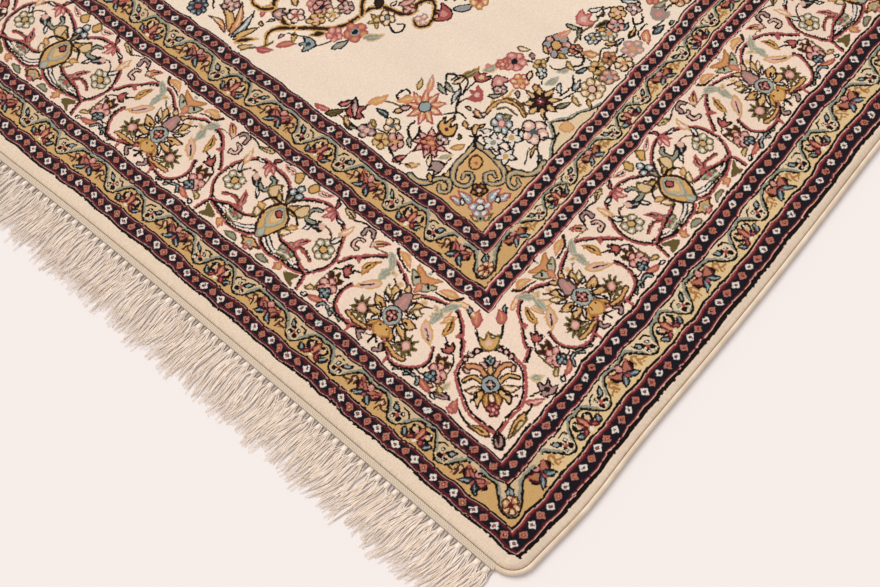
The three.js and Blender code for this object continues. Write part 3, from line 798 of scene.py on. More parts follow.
    ("stem", [(222, 144), (213, 141.6), (203, 142.6)], "black", 1.3),
    ("stem", [(214, 154), (213.4, 162), (218, 168)], "black", 1.4),
    ("leaf", (216.6, 158.6), (211, 153), 3.2, "sage", "black", 0.6),
    ("leaf", (197.6, 157), (193, 150), 3.2, "sand", "black", 0.6),
    ("leaf", (190.6, 146.4), (184.6, 142.6), 3, "gold", "black", 0.4),
    ("leaf", (268, 148), (262.6, 156), 3.6, "rose", "black", 0.6),
    ("leaf", (259, 144), (251, 139.6), 3.2, "gold", "brown", 0.6),
    ("stem", [(222.6, 169), (221, 162), (214.6, 158)], "black", 1.4),
    ("leaf", (244, 152.6), (237.6, 149.6), 3, "gold", "olive", 0.5),
    ("stem", [(211, 184), (205.4, 189.6), (199, 190)], "black", 1.3),
    ("leaf", (181, 203.6), (176.6, 208.4), 2.8, "sage", "olive", 0.4),
    ("stem", [(152, 209), (147, 213), (147.4, 218)], "black", 1.3),
    ("leaf", (170, 245), (165, 239.4), 3.2, "greyBlue", "black", 0.5),
    ("stem", [(164, 238), (162, 248), (166, 254)], "black", 1.3),
    ("leaf", (148.6, 247.6), (143, 243.6), 2.8, "gold", "black", 0.4),
    ("stem", [(160, 273), (163, 281), (160, 285)], "black", 1.3),
    ("leaf", (170.6, 294), (175, 289.4), 2.8, "gold", "brown", 0.4),
    ("stem", [(150, 301), (154, 305), (153, 313)], "black", 1.3),
    # past the edge of what shows, the spray thins out in the same manner
    ("bud", 152, 324, 6.4, 80, "mauve", "sage", "pink"),
    ("leaf", (158, 326), (153, 335), 3.8, "sage", "olive", 0.8),
    ("flower", 162.6, 333, 6.2, 6, "salmon", "red", "navy"),
    ("leaf", (171, 331), (167, 341), 3.8, "gold", "olive", 0.8),
    ("flower", 147.6, 341, 6.2, 5, "orange", "black", "sage"),
    ("flower", 156, 348, 7.4, 8, "gold", "brown", "blush", {"heartEdge": "maroon"}),
    ("leaf", (164, 350), (160, 361), 4, "olive", "black", 0.8),
    ("leaf", (146, 350), (143.6, 359), 4, "greyBlue", "black", 0.5),
    ("flower", 151, 362, 5.6, 5, "pink", "red", "navy"),
    ("leaf", (158, 365), (154, 375), 3.8, "sage", "sand", 0.8),
    ("flower", 146, 372, 5, 5, "sand", "olive", "maroon"),
    ("bud", 149, 383, 5, 95, "rose", "black", "blush"),
    ("leaf", (144, 386), (142.4, 396), 3.4, "gold", "ochre", 0.6),
]

# small leaves between the blossoms: the bare ground each needs round it, their spacing, and their shape
sprigs = {"reach": 3.4, "step": 5.6, "drift": 1.6, "length": 3.1, "width": 3.2, "bow": 0.7}
sprigWools = [
    ("gold", "brown"), ("sage", "black"), ("rose", "black"), ("sand", "olive"), ("greyBlue", "black"),
    ("orange", "brown"), ("olive", "black"), ("pink", "maroon"), ("gold", "black"), ("ivory", "black"),
]
spandrelReach = [
    (284, 138), (262, 156), (248, 170), (236, 188), (226, 202), (212, 224), (203, 246), (195, 264),
    (190, 292), (181, 310), (173, 330), (166, 356), (156, 380), (148, 394), (141, 398), (141, 138),
]


def scatter(pen, reach, seed, size):
    # sprigs wherever the ground still shows inside an outline
    chance = np.random.default_rng(seed)
    within = Pen(np.zeros_like(pen.chart), pen.axes, pen.at)
    within.fill(reach, "black")
    clear = round(sprigs["reach"] * finer * size)
    low, high = np.min(reach, 0), np.max(reach, 0)
    for y in np.arange(low[1], high[1], sprigs["step"] * size):
        for x in np.arange(low[0], high[0], sprigs["step"] * size):
            px, py = np.array([x, y]) + chance.uniform(-sprigs["drift"], sprigs["drift"], 2)
            turn, pick = chance.uniform(0, 2 * math.pi), chance.integers(len(sprigWools))
            column, row = pen.spot(px, py).round().astype(int)
            around = pen.chart[
                max(0, row - clear) : row + clear + 1, max(0, column - clear) : column + clear + 1
            ]
            free = within.chart[min(row, len(pen.chart) - 1), min(column, pen.chart.shape[1] - 1)]
            if free and (around == woolNumber["field"]).all():
                fill, edge = sprigWools[pick]
                place = np.array([px, py])
                way = size * sprigs["length"] * np.array([math.cos(turn), math.sin(turn)])
                leaf(pen, place - way, place + way, size * sprigs["width"], fill, edge, sprigs["bow"])


def bluePetals(pen, x, y, radius):
    # every second petal of a daisy in blue
    reach = petal["ring"] * radius
    for k in range(0, 9, 2):
        turn = math.radians(90 + 40 * k)
        pen.disc(x + reach * math.cos(turn), y + reach * math.sin(turn), 0.2 * radius, "greyBlue")


shapes["bluePetals"] = bluePetals


def spandrel(corner):
    # the panels first, then the spray and its sprigs
    mirrored = corner.flipped(3, -3)
    ground = smooth(panelOutline, closed=True, fine=3)
    corner.fill(ground, "apricot")
    corner.line(np.vstack([ground, ground[:1]]), 1.3, "black")
    side = smooth(sidePanel, closed=True, fine=3)
    corner.fill(side, "paleGold")
    leaf(corner, (142, 226), (150, 220), 7, "apricot", "orange", 1)
    corner.line(beside(side, 1.4), 1.4, "sage")
    corner.line(side, 1.3, "black")
    weave(corner, panelHalf)
    weave(mirrored, panelHalf)
    weave(corner, panelAxis)
    weave(corner, spray)
    scatter(corner, spandrelReach, 5, 0.72)


# the lower edge of the great medallion, in steps from the outer corner of the guards
medallionEdge = [
    ("curl", [(352, 176), (340, 172), (330, 173.6), (321, 179), (311.4, 186.6), (305, 196), (303.6, 206),
      (301, 214), (294, 221)], 3, "darkBrown", "gold", 1.8),
    ("curl", [(330, 173.6), (338, 166), (341, 158), (336, 152)], 2.4, "darkBrown", "gold", 1),
    ("curl", [(352, 176), (358, 171), (366, 171), (372, 177)], 2.6, "darkBrown", "gold", 1.4),
    ("curl", [(294, 221), (284, 224), (277, 229), (279.6, 237), (273, 243), (266, 237), (262.6, 228),
      (268, 222), (273, 225.6)], 2.8, "darkBrown", "gold", 1.4),
    ("curl", [(303, 208), (309, 216), (308, 226), (301, 232)], 2.8, "darkBrown", "gold", 1.2),
    ("leaf", (297, 217), (303, 228), 6, "darkBrown", "black"),
    ("leaf", (312, 182), (318, 173.6), 5, "darkBrown", "gold"),
    ("leaf", (334, 176), (343, 182), 4, "darkBrown", "black"),
    ("leaf", (327, 171), (322, 163), 3, "gold", "olive"),
    ("stem", [(303, 186), (306, 176), (312, 167)], "black"),
    ("stem", [(316, 172), (322, 170), (330, 168)], "black"),
    ("stem", [(334, 158), (338, 148), (345, 142.6), (350, 145)], "olive", 1.4),
    ("stem", [(283, 214), (277, 210.6), (272.6, 214), (275, 219), (279, 217)], "black", 1.4),
    ("leaf", (350, 140.6), (342.6, 146.6), 4, "gold", "olive", 1),
    ("leaf", (339, 146), (330, 152.6), 4.6, "rose", "red", 0.8),
    ("leaf", (330, 156), (320, 164), 5, "salmon", "red", -0.8),
    ("bud", 314, 168.4, 6, -40, "greyBlue", "navy", "teal"),
    ("leaf", (300, 176), (296.6, 188), 4.6, "sage", "black", 0.6),
    ("flower", 306.6, 185, 5.4, 5, "pink", "rose", "red"),
    ("flower", 296.6, 195, 7.6, 5, "salmon", "rose", "navy", {"heartEdge": "greyBlue"}),
    ("leaf", (290, 194), (281, 206), 5.4, "sage", "sand", 0.8),
    ("star", 292, 210, 6.4, 5, "gold", "olive", "sand", "olive"),
    ("flower", 287.4, 216.4, 5.6, 5, "sand", "brown", "greyBlue", {"heartEdge": "black"}),
    ("flower", 269, 228, 4, 3, "blush", "mauve", "pink"),
    ("bud", 261, 240, 7, -20, "rose", "black", "pink"),
    ("leaf", (258, 246), (251, 258), 6, "greyBlue", "black", 1, "mauve"),
    ("flower", 249.4, 262, 6.4, 5, "orange", "ochre", "red"),
    ("flower", 281, 231, 4, 4, "pink", "brown", "blush"),
    ("leaf", (288, 228), (283, 240), 4.4, "pink", "brown", 0.6),
    # blossoms inside the first branch
    ("flower", 315, 205, 5.4, 6, "mauve", "black", "blush"),
    ("flower", 327, 196, 6.4, 6, "pink", "darkBrown", "navy"),
    ("flower", 318, 195.6, 5, 5, "sand", "olive", "gold"),
    ("flower", 324, 186, 5.4, 5, "gold", "brown", "blush"),
    ("flower", 336, 181, 5.6, 5, "blush", "black", "rose"),
    ("bud", 345, 175, 5, 150, "mauve", "darkBrown", "blush"),
    ("leaf", (332, 199), (338, 208), 4, "ochre", "darkBrown", 0.8),
    ("leaf", (342, 186), (350, 190), 4, "gold", "brown", 1),
    # the fan palmette and the dark rosette over the end
    ("leaf", (362, 144), (383, 157), 5.4, "gold", "brown", 3),
    ("leaf", (360, 142.6), (372, 166), 5.4, "orange", "brown", 2),
    ("leaf", (358, 142), (360, 167), 4.6, "greyBlue", "black", 1),
    ("leaf", (356, 142), (349, 160), 4.6, "gold", "black", -1),
    ("leaf", (354, 141.6), (343, 152), 4, "darkBrown", "gold", -1),
    ("leaf", (364, 142), (382, 146), 4, "orange", "brown", 2),
    ("flower", 377, 161, 6, 5, "mauve", "black", "blush"),
    ("flower", 393.4, 146.6, 7.6, 8, "blue", "navy", "rose", {"heartEdge": "navy"}),
    ("stem", [(384, 152), (389, 158), (386, 165)], "black", 1.4),
    ("leaf", (400, 150), (408, 160), 5, "gold", "darkBrown", 1),
]
# a loose spray for the parts of the field that the photograph doesn't show
branchSpray = [
    ("curl", [(-30, -10), (-18, -14), (-6, -6), (4, 4), (16, 8), (28, 2)], 2.8, "darkBrown", "gold", 1.4),
    ("curl", [(-6, -6), (-8, 6), (-16, 12)], 2.4, "darkBrown", "gold", 1),
    ("curl", [(16, 8), (20, 18), (14, 24)], 2.1, "darkBrown", "gold", 1),
    ("stem", [(4, 4), (6, 14), (0, 20)], "black"), ("stem", [(-18, -14), (-14, -24), (-6, -27)], "black"),
    ("flower", -17, 14, 7, 6, "pink", "rose", "navy", {"heartEdge": "greyBlue"}),
    ("flower", 0, 22, 6, 5, "sand", "olive", "red"), ("flower", -5, -28, 6.6, 5, "salmon", "red", "blush"),
    ("flower", 14, -8, 6, 5, "greyBlue", "black", "gold"),
    ("star", 28, 2, 8, 8, "orange", "brown", "greyBlue", "black", {"width": 0.36}),
    ("flower", 12, 25, 5, 5, "mauve", "black", "white"),
    ("leaf", (-26, -8), (-30, 4), 4.4, "sage", "sand", 0.8),
    ("leaf", (-2, -8), (8, -16), 4.6, "olive", "brown", 1),
    ("leaf", (8, 8), (14, 16), 4, "gold", "olive", 0.8),
    ("leaf", (-22, -16), (-32, -20), 4, "rose", "red", 0.8),
    ("leaf", (20, -4), (24, -14), 4, "teal", "black", 0.6),
    ("bud", -10, 28, 5.4, 100, "rose", "black", "blush"),
]
spraySpots = [  # middle, turn, and which way round
    (352, 204, 60, 1), (402, 190, 10, -1), (300, 262, 110, 1), (366, 250, 40, 1), (425, 246, 80, -1),
    (268, 300, 70, -1), (326, 314, 20, 1), (390, 308, 130, -1), (250, 352, 95, 1), (300, 372, 60, -1),
    (356, 366, 10, 1), (420, 366, 85, 1), (234, 412, 80, -1), (284, 432, 30, 1), (340, 428, 100, -1),
    (226, 474, 100, 1), (272, 496, 120, -1), (222, 538, 75, -1), (258, 560, 20, 1), (218, 604, 105, 1),
    (248, 634, 60, -1), (216, 664, 90, -1), (390, 424, 20, 1),
]
medallionReach = [
    (346, 146), (326, 164), (304, 180), (290, 196), (280, 216), (264, 234), (254, 256), (246, 280),
    (238, 310), (230, 350), (222, 400), (216, 470), (212, 540), (208, 620), (206, 690), (448, 690),
    (448, 160), (380, 170),
]
# the lobed panel in the middle of the rug, and its rayed rosette
heartOutline = [
    (452, 430), (441, 432), (432, 452), (412, 460), (398, 482), (374, 492), (358, 520), (334, 536),
    (322, 564), (302, 580), (296, 612), (284, 634), (282, 664), (280, 690), (452, 690),
]
heartPetals = [
    ("star", 441, 678, 150, 16, "ivory", "black", "apricot", "maroon", {"width": 0.2}),
    ("star", 441, 678, 96, 16, "rose", "maroon", "ivory", "black", {"width": 0.22, "turn": 78.75}),
    ("star", 441, 678, 66, 12, "greyBlue", "navy", "gold", "brown", {"width": 0.3}),
    ("flower", 441, 678, 22, 8, "pink", "maroon", "navy", {"heartEdge": "gold"}),
]
heartSprays = [(420, 500), (378, 522), (346, 566), (318, 612), (304, 660)]


def medallion(corner):
    for x, y, turn, way in spraySpots:
        weave(corner.moved(x, y, turn, way), branchSpray)
    weave(corner, medallionEdge)
    ground = smooth(heartOutline, closed=True, fine=4)
    corner.fill(ground, "apricot")
    corner.line(ground, 3.4, "sage")
    corner.line(beside(ground, 2), 1.3, "black")
    corner.line(beside(ground, -2), 1.3, "black")
    weave(corner, heartPetals)
    for x, y in heartSprays:
        # their blossoms and leaves only, without the branches
        weave(corner.moved(x, y, 30, 0.8, 0.8), branchSpray[5:])
    scatter(corner, medallionReach, 6, 0.8)


# the quarter chart: its origin is the outer corner of the guards, x runs along the end and y along the side
quarter = {"width": 448, "length": 688, "sideMargin": 7, "endMargin": 10}
centreX = quarter["width"] - quarter["sideMargin"]
centreY = quarter["length"] - quarter["endMargin"]

# each band from the outer line inwards, in steps from the side and from the end
bands = {
    "outerStripe": ((0, 14), (0, 11)), "outerGuard": ((14, 30), (11, 26)),
    "secondStripe": ((30, 44), (26, 37)), "border": ((44, 104), (37, 98)),
    "thirdStripe": ((104, 116), (98, 109)), "innerGuard": ((116, 128), (109, 126)),
    "innerStripe": ((128, 140), (126, 137)),
}
# the first palmette and the repeat of the guards, along the end and along the side
guardRuns = {"outerGuard": (46.7, 78.86, 44.4, 74.54), "innerGuard": (142.1, 74.7, 145.9, 70.95)}
# the same for the border: its first ringed palmette, the way from there to the drop, and how many such ways
borderRuns = ((145.8, 98.4, 3), (140.3, 89.6, 6))
borderHalf = 98.4  # that way as the border's rows measure it


def ring(chart, x, y, endWool, paintedLightSideWool=None):
    # everything inside a line, with its own wool on the side's half of the mitre
    row, column = round(finer * (y + quarter["endMargin"])), round(finer * (x + quarter["sideMargin"]))
    inside = chart[row:, column:]
    inside[:] = woolNumber[endWool]
    if paintedLightSideWool:
        # the mitre runs through the bands' own corners, and on at 45 degrees
        corners = [(xs[0], ys[0]) for xs, ys in bands.values()] + [(140, 137), (441, 438)]
        mitreX, mitreY = zip(*corners)
        rows = (np.arange(inside.shape[0]) + 0.5) / finer + y
        mitre = np.interp(rows, mitreY, mitreX)
        columns = (np.arange(inside.shape[1]) + 0.5) / finer + x
        inside[columns[None, :] < mitre[:, None]] = woolNumber[paintedLightSideWool]


# the lines of a stripe, from its rim inwards: how far in on the side and on the end, and their wools on the
# end and on the side; where the side's wool is paler it is painted light, the side standing brighter lit than
# the end
stripeRims = [
    # the side's blush and red are paler than the end's mauve and maroon: painted light
    (0, 0, "black", "black"), (1, 1, "mauve", "blush"), (1.6, 1.6, "maroon", "sideRedPaintedLight"),
    (2.5, 2.2, "maroon", "maroon"), (3, 2.9, "navy", "navy"),
]
# the side's outer rims are a little narrower than the end's and its inner ones wider; two blossoms' repeat
stripeShape = {"outer": 0.85, "inner": 1.3, "fullWidth": 14, "repeat": 14}


def stripe(chart, corner, name):
    (x0, x1), (y0, y1) = bands[name]
    narrow = min(1, (x1 - x0) / stripeShape["fullWidth"])
    for dx, dy, endWool, paintedLightSideWool in stripeRims:
        ring(chart, x0 + stripeShape["outer"] * dx * narrow, y0 + dy, endWool, paintedLightSideWool)
    beyond = stripeRims[-2::-1]
    for (dx, dy, *_), (*_, endWool, paintedLightSideWool) in zip(stripeRims[:0:-1], beyond):
        ring(chart, x1 - stripeShape["inner"] * dx * narrow, y1 - dy, endWool, paintedLightSideWool)
    # small blossoms, white and salmon by turns, one in the corner and one on the axis
    middleX, middleY = (x0 + x1) / 2, (y0 + y1) / 2
    for onEnd, start, end in ((True, middleX, centreX), (False, middleY, centreY)):
        count = 2 * round((end - start) / stripeShape["repeat"])
        for k in range(count + 1):
            place = start + (end - start) * k / count
            x, y = (place, middleY) if onEnd else (middleX, place)
            blossom(corner, x, y, k % 2 == 0)


def blossom(pen, x, y, pale):
    tips, body, heart = ("greyBlue", "white", "rose") if pale else ("mauve", "salmon", "orange")
    pen.fill([(x - 2.7, y), (x, y - 2.7), (x + 2.7, y), (x, y + 2.7)], tips)
    for side in (-1, 1):
        pen.disc(x + side * 1.05, y, 1.25, body)
        pen.disc(x, y + side * 1.05, 1.25, body)
    pen.disc(x, y, 0.95, "maroon")
    pen.disc(x, y, 0.4, heart)


def paintQuarter():
    # from the outside inwards, so that each band covers what runs over its inner line
    chart = np.full((finer * quarter["length"], finer * quarter["width"]), woolNumber["margin"], np.uint8)
    start = (finer * quarter["sideMargin"], finer * quarter["endMargin"])
    corner = Pen(chart, ((finer, 0), (0, finer)), start)
    ring(chart, -1.5, -0.5, "black")
    for name, ((x0, _), (y0, _)) in bands.items():
        if name == "border":
            ring(chart, x0, y0, "ivory")
            border(corner)
        elif name in guardRuns:
            ring(chart, x0, y0, "guardGold")
            guard(corner, name, *guardRuns[name])
        else:
            stripe(chart, corner, name)
    # the field is charted apart, so that nothing of it runs over the inner stripe
    middle = np.full_like(chart, woolNumber["field"])
    inside = Pen(middle, corner.axes, corner.at)
    spandrel(inside)
    medallion(inside)
    (_, x1), (_, y1) = bands["innerStripe"]
    column, row = finer * (x1 + quarter["sideMargin"]), finer * (y1 + quarter["endMargin"])
    chart[row:, column:] = middle[row:, column:]
    return chart


def border(corner):
    (x0, x1), (y0, y1) = bands["border"]
    borderTurn(corner)
    pens = ((corner.moved(0, y0), 1), (corner.flipped(x0, 0), (x1 - x0) / (y1 - y0)))
    for (pen, high), (start, half, count) in zip(pens, borderRuns):
        size = half / borderHalf
        for k in range(-1, count):
            # the ringed palmette stands at even places and the drop at odd ones
            way = 1 if k % 2 else -1
            drop = start + half * (k if k % 2 else k + 1)
            weave(pen.moved(drop, 0, 0, way * size, high), heartSide)
            if k >= 0:
                weave(pen.moved(drop, 0, 0, way * size, high), circleSide)
        for k in range(count + 1):
            weave(pen.moved(start + half * k, 0, 0, size, high), dropAxis if k % 2 else ringAxis)


# outlines step in and out by a knot, as they do under a knotter's hands: in patches of so many knots,
# with so many that stay for every one that moves either way
strayKnots = {"seed": 19, "patch": 3, "still": 12}


def wholeChart():
    part = paintQuarter()
    half = np.hstack([part, part[:, ::-1]])
    whole = np.vstack([half, half[::-1]])
    chance = np.random.default_rng(strayKnots["seed"])
    patch = strayKnots["patch"]
    rows, columns = whole.shape
    choices = [-1] + [0] * strayKnots["still"] + [1]
    moves = chance.choice(choices, (2, rows // patch + 1, columns // patch + 1))
    moves = moves.repeat(patch, axis=1).repeat(patch, axis=2)[:, :rows, :columns]
    row = (np.arange(rows)[:, None] + moves[0]).clip(0, rows - 1)
    column = (np.arange(columns)[None, :] + moves[1]).clip(0, columns - 1)
    return whole[row, column]


def add(tree, kind, settings=None, links=None):
    # one node, its settings by name or socket, and what feeds its sockets
    node = tree.nodes.new("ShaderNode" + kind)
    for key, value in (settings or {}).items():
        if isinstance(key, str) and hasattr(node, key):
            setattr(node, key, value)
        else:
            node.inputs[key].default_value = value
    for key, source in (links or {}).items():
        output = source if isinstance(source, bpy.types.NodeSocket) else source.outputs[0]
        tree.links.new(output, node.inputs[key])
    return node


def newMaterial(name, **settings):
    material = bpy.data.materials.new(name)
    material.use_nodes = True
    tree = material.node_tree
    shader = tree.nodes["Principled BSDF"]
    for socket, value in settings.items():
        shader.inputs[socket.replace("_", " ")].default_value = value
    return material, tree, shader


def twoTone(tree, source, low, high, start=0, stop=1):
    # from one shade to the other while the source goes from start to stop
    dye = add(tree, "ValToRGB", {}, {0: source})
    for element, position, shade in zip(dye.color_ramp.elements, (start, stop), (low, high)):
        element.position = position
        element.color = linear(shade)
    return dye


def surface(tree, shader, colour, height=None, strength=0, depth=0):
    # what the eye gets: the colour, and a relief of so many millimetres
    tree.links.new(colour.outputs[0], shader.inputs["Base Color"])
    if height:
        bump = add(tree, "Bump", {"Strength": strength, "Distance": depth * mm}, {"Height": height})
        tree.links.new(bump.outputs[0], shader.inputs["Normal"])


def waveScale(width):
    # the wave texture's scale for one wave to every width millimetres
    return 2 * math.pi / (20 * width * mm)


# a face of the pile's mesh holds eight rows of eight knots: four wools packed in a number, four numbers
# in an attribute, two rows to an attribute
packing = {"across": 8, "perNumber": 4, "wools": 32}


def woolPile():
    # hand-knotted wool, sheared level: matt, each knot a shade of its own, a pale bloom at low angles
    material, tree, shader = newMaterial(
        "knottedWoolPile", Roughness=0.9, IOR=1.45, Sheen_Weight=0.1, Sheen_Roughness=0.5,
        Sheen_Tint=linear("#FFF1E4"), Specular_IOR_Level=0.12,
    )
    knots = add(tree, "UVMap", {"uv_map": "knots"})
    plan = add(tree, "UVMap", {"uv_map": "pattern"})
    spot = add(tree, "TexCoord").outputs["Object"]
    # cut fibres lean over their neighbours' edges
    stray = add(tree, "TexNoise", {"Scale": 1 / (1.1 * mm), "Detail": 1.0}, {"Vector": spot})
    strayed = stray.outputs["Color"]
    centred = add(tree, "VectorMath", {"operation": "SUBTRACT", 1: (0.5, 0.5, 0.5)}, {0: strayed})
    moved = add(tree, "VectorMath", {"operation": "MULTIPLY_ADD", 1: (2.2, 2.2, 0)}, {0: centred, 2: knots})
    whole = add(tree, "VectorMath", {"operation": "FLOOR"}, {0: moved})
    least = add(tree, "VectorMath", {"operation": "MAXIMUM", 1: (0, 0, 0)}, {0: whole})
    last = packing["across"] - 1
    inside = add(tree, "VectorMath", {"operation": "MINIMUM", 1: (last, last, 0)}, {0: least})
    knot = add(tree, "SeparateXYZ", {}, {0: inside})
    across, up = knot.outputs["X"], knot.outputs["Y"]
    # which attribute, which of its numbers and which wool in that number is this knot's
    half = add(tree, "Math", {"operation": "GREATER_THAN", 1: last / 2}, {0: across})
    back = -packing["perNumber"]
    digitPlace = add(tree, "Math", {"operation": "MULTIPLY_ADD", 1: back}, {0: half, 2: across})
    halved = add(tree, "Math", {"operation": "MULTIPLY", 1: 0.5}, {0: up})
    rowPair = add(tree, "Math", {"operation": "FLOOR"}, {0: halved})
    odd = add(tree, "Math", {"operation": "MULTIPLY_ADD", 1: -2}, {0: rowPair, 2: up})
    channel = add(tree, "Math", {"operation": "MULTIPLY_ADD", 1: 2}, {0: odd, 2: half})
    weights = [
        add(tree, "Math", {"operation": "COMPARE", 1: number, 2: 0.4}, {0: channel}) for number in range(4)
    ]
    mask = add(tree, "CombineXYZ", {}, dict(enumerate(weights[:3])))
    chosen = None
    for number in range(4):
        packed = add(tree, "Attribute", {"attribute_name": f"wools{number}"})
        three = add(tree, "VectorMath", {"operation": "DOT_PRODUCT"}, {0: packed.outputs["Color"], 1: mask})
        held = add(
            tree, "Math", {"operation": "MULTIPLY_ADD"},
            {0: packed.outputs["Alpha"], 1: weights[3], 2: three.outputs["Value"]},
        )
        mine = add(tree, "Math", {"operation": "COMPARE", 1: number, 2: 0.4}, {0: rowPair})
        links = {0: mine, 1: held}
        if chosen:
            chosen = add(tree, "Math", {"operation": "MULTIPLY_ADD"}, {**links, 2: chosen})
        else:
            chosen = add(tree, "Math", {"operation": "MULTIPLY"}, links)
    count = packing["wools"]
    power = add(tree, "Math", {"operation": "POWER", 0: count}, {1: digitPlace})
    shifted = add(tree, "Math", {"operation": "DIVIDE"}, {0: chosen, 1: power})
    digit = add(tree, "Math", {"operation": "FLOOR"}, {0: shifted})
    wool = add(tree, "Math", {"operation": "MODULO", 1: count}, {0: digit})
    onRamp = add(tree, "Math", {"operation": "MULTIPLY_ADD", 1: 1 / count, 2: 0.5 / count}, {0: wool})
    dye = add(tree, "ValToRGB", {}, {0: onRamp})
    dye.color_ramp.interpolation = "CONSTANT"
    stops = dye.color_ramp.elements
    stops.remove(stops[1])
    stops[0].position = 0
    stops[0].color = linear(wools[woolNames[0]])
    for number, name in enumerate(woolNames[1:], 1):
        stops.new(number / count).color = linear(wools[name])
    # every knot takes the dye a little differently
    cell = add(tree, "VectorMath", {"operation": "FLOOR"}, {0: plan})
    chance = add(tree, "TexWhiteNoise", {}, {0: cell})
    shade = add(tree, "MapRange", {"To Min": 0.91, "To Max": 1.08}, {0: chance.outputs["Value"]})
    # bands of dye lots along the rows, 60 to 200 mm deep
    lots = add(tree, "Mapping", {"Scale": (2.5, 12, 1)}, {0: spot})
    abrash = add(tree, "TexNoise", {"Scale": 1.0, "Detail": 3.0, "Roughness": 0.6}, {"Vector": lots})
    lot = add(
        tree, "MapRange", {"From Min": 0.3, "From Max": 0.7, "To Min": 0.95, "To Max": 1.04}, {0: abrash}
    )
    mixed = add(tree, "Math", {"operation": "MULTIPLY"}, {0: shade, 1: lot})
    colour = add(tree, "VectorMath", {"operation": "SCALE"}, {0: dye, "Scale": mixed})
    # the cut ends stand as small rounded tufts, with a groove between the rows
    part = add(tree, "VectorMath", {"operation": "FRACTION"}, {0: plan})
    offCentre = add(tree, "VectorMath", {"operation": "SUBTRACT", 1: (0.5, 0.5, 0)}, {0: part})
    fromMiddle = add(tree, "VectorMath", {"operation": "LENGTH"}, {0: offCentre})
    tuft = add(
        tree, "MapRange", {"From Min": 0.2, "From Max": 0.62, "To Min": 1, "To Max": 0},
        {0: fromMiddle.outputs["Value"]},
    )
    height = add(tree, "Math", {"operation": "MULTIPLY_ADD", 1: 0.8}, {0: chance.outputs["Value"], 2: tuft})
    surface(tree, shader, colour, height, 0.45, 0.3)
    return material


def cottonBack():
    # the underside: cotton foundation with the backs of the knots, plain and matt
    material, tree, shader = newMaterial("knotBacks", Roughness=0.9, IOR=1.5, Specular_IOR_Level=0.2)
    spot = add(tree, "TexCoord").outputs["Object"]
    rows = add(
        tree, "TexWave", {"bands_direction": "Y", "Scale": waveScale(stepSize), "Distortion": 1.0},
        {"Vector": spot},
    )
    surface(tree, shader, twoTone(tree, rows.outputs["Fac"], "#B9A78F", "#D9CBB4"))
    return material


def overcastYarn():
    # cream wool wound closely round the edge cord: fine slanting turns, matt
    material, tree, shader = newMaterial(
        "overcastWool", Roughness=0.85, IOR=1.45, Sheen_Weight=0.2, Sheen_Roughness=0.5,
        Specular_IOR_Level=0.2,
    )
    spot = add(tree, "TexCoord").outputs["Object"]
    # turns of yarn about 1.3 mm wide
    wound = {
        "bands_direction": "Y", "Scale": waveScale(1.3), "Distortion": 3.0, "Detail": 1.0, "Detail Scale": 1.0
    }
    turns = add(tree, "TexWave", wound, {"Vector": spot})
    mottle = add(tree, "TexNoise", {"Scale": 60.0, "Detail": 3.0}, {"Vector": spot})
    mixed = add(tree, "Math", {"operation": "MULTIPLY_ADD", 1: 0.25}, {0: turns.outputs["Fac"], 2: mottle})
    # lighter on the crowns of the turns and darker between them, painted shade in the grooves, over a random
    # mottle of the yarn
    dye = twoTone(tree, mixed, "#D9C0A4", "#F2E0CC", 0.35, 0.95)
    surface(tree, shader, dye, turns.outputs["Fac"], 0.4, 0.4)
    return material


def kilimWeave():
    # flat weave of off-white weft with twined lines along the edge
    material, tree, shader = newMaterial("kilimWeave", Roughness=0.9, IOR=1.5, Specular_IOR_Level=0.2)
    cloth = add(tree, "UVMap", {"uv_map": "weave"})
    # four lines across 6.8 mm, and slanting stitches about 2 mm long
    lines = add(
        tree, "TexWave", {"bands_direction": "Y", "Scale": waveScale(1.7), "Distortion": 0.6},
        {"Vector": cloth},
    )
    slant = add(tree, "Mapping", {"Rotation": (0, 0, 0.6)}, {"Vector": cloth})
    stitches = add(tree, "TexWave", {"Scale": waveScale(1.9), "Distortion": 1.0}, {"Vector": slant})
    height = add(
        tree, "Math", {"operation": "MULTIPLY_ADD", 1: 0.4},
        {0: stitches.outputs["Fac"], 2: lines.outputs["Fac"]},
    )
    # the colour follows the relief, lighter on raised stitches and darker in the low parts between them:
    # painted shade in the grooves
    surface(tree, shader, twoTone(tree, height, "#DCC8B0", "#F3DFC9", 0.1), height, 0.8, 1)
    return material


def warpCotton():
    # plied cotton warps: soft off-white, with painted shade where yarns lie deep near the knots
    material, tree, shader = newMaterial(
        "pliedCotton", Roughness=0.9, IOR=1.5, Sheen_Weight=0.15, Sheen_Roughness=0.5, Specular_IOR_Level=0.2
    )
    spot = add(tree, "TexCoord").outputs["Object"]
    streak = add(tree, "Mapping", {"Scale": (700, 60, 300)}, {"Vector": spot})
    mottle = add(tree, "TexNoise", {"Scale": 1.0, "Detail": 2.0}, {"Vector": streak})
    dye = twoTone(tree, mottle, "#E3CDB9", "#FFF0E4", 0.25, 0.75)
    # painted shade between the knots, darkest low down near the band
    paintedShade = add(tree, "Attribute", {"attribute_name": "paintedShade"})
    shade = add(tree, "MapRange", {"To Min": 1, "To Max": 0.6}, {0: paintedShade.outputs["Fac"]})
    colour = add(tree, "VectorMath", {"operation": "SCALE"}, {0: dye, "Scale": shade})
    surface(tree, shader, colour, mottle.outputs[0], 0.5, 0.3)
    return material


def finished(name, mesh, body="root"):
    piece = bpy.data.objects.new(name, mesh)
    bpy.context.scene.collection.objects.link(piece)
    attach(piece, body)
    return piece


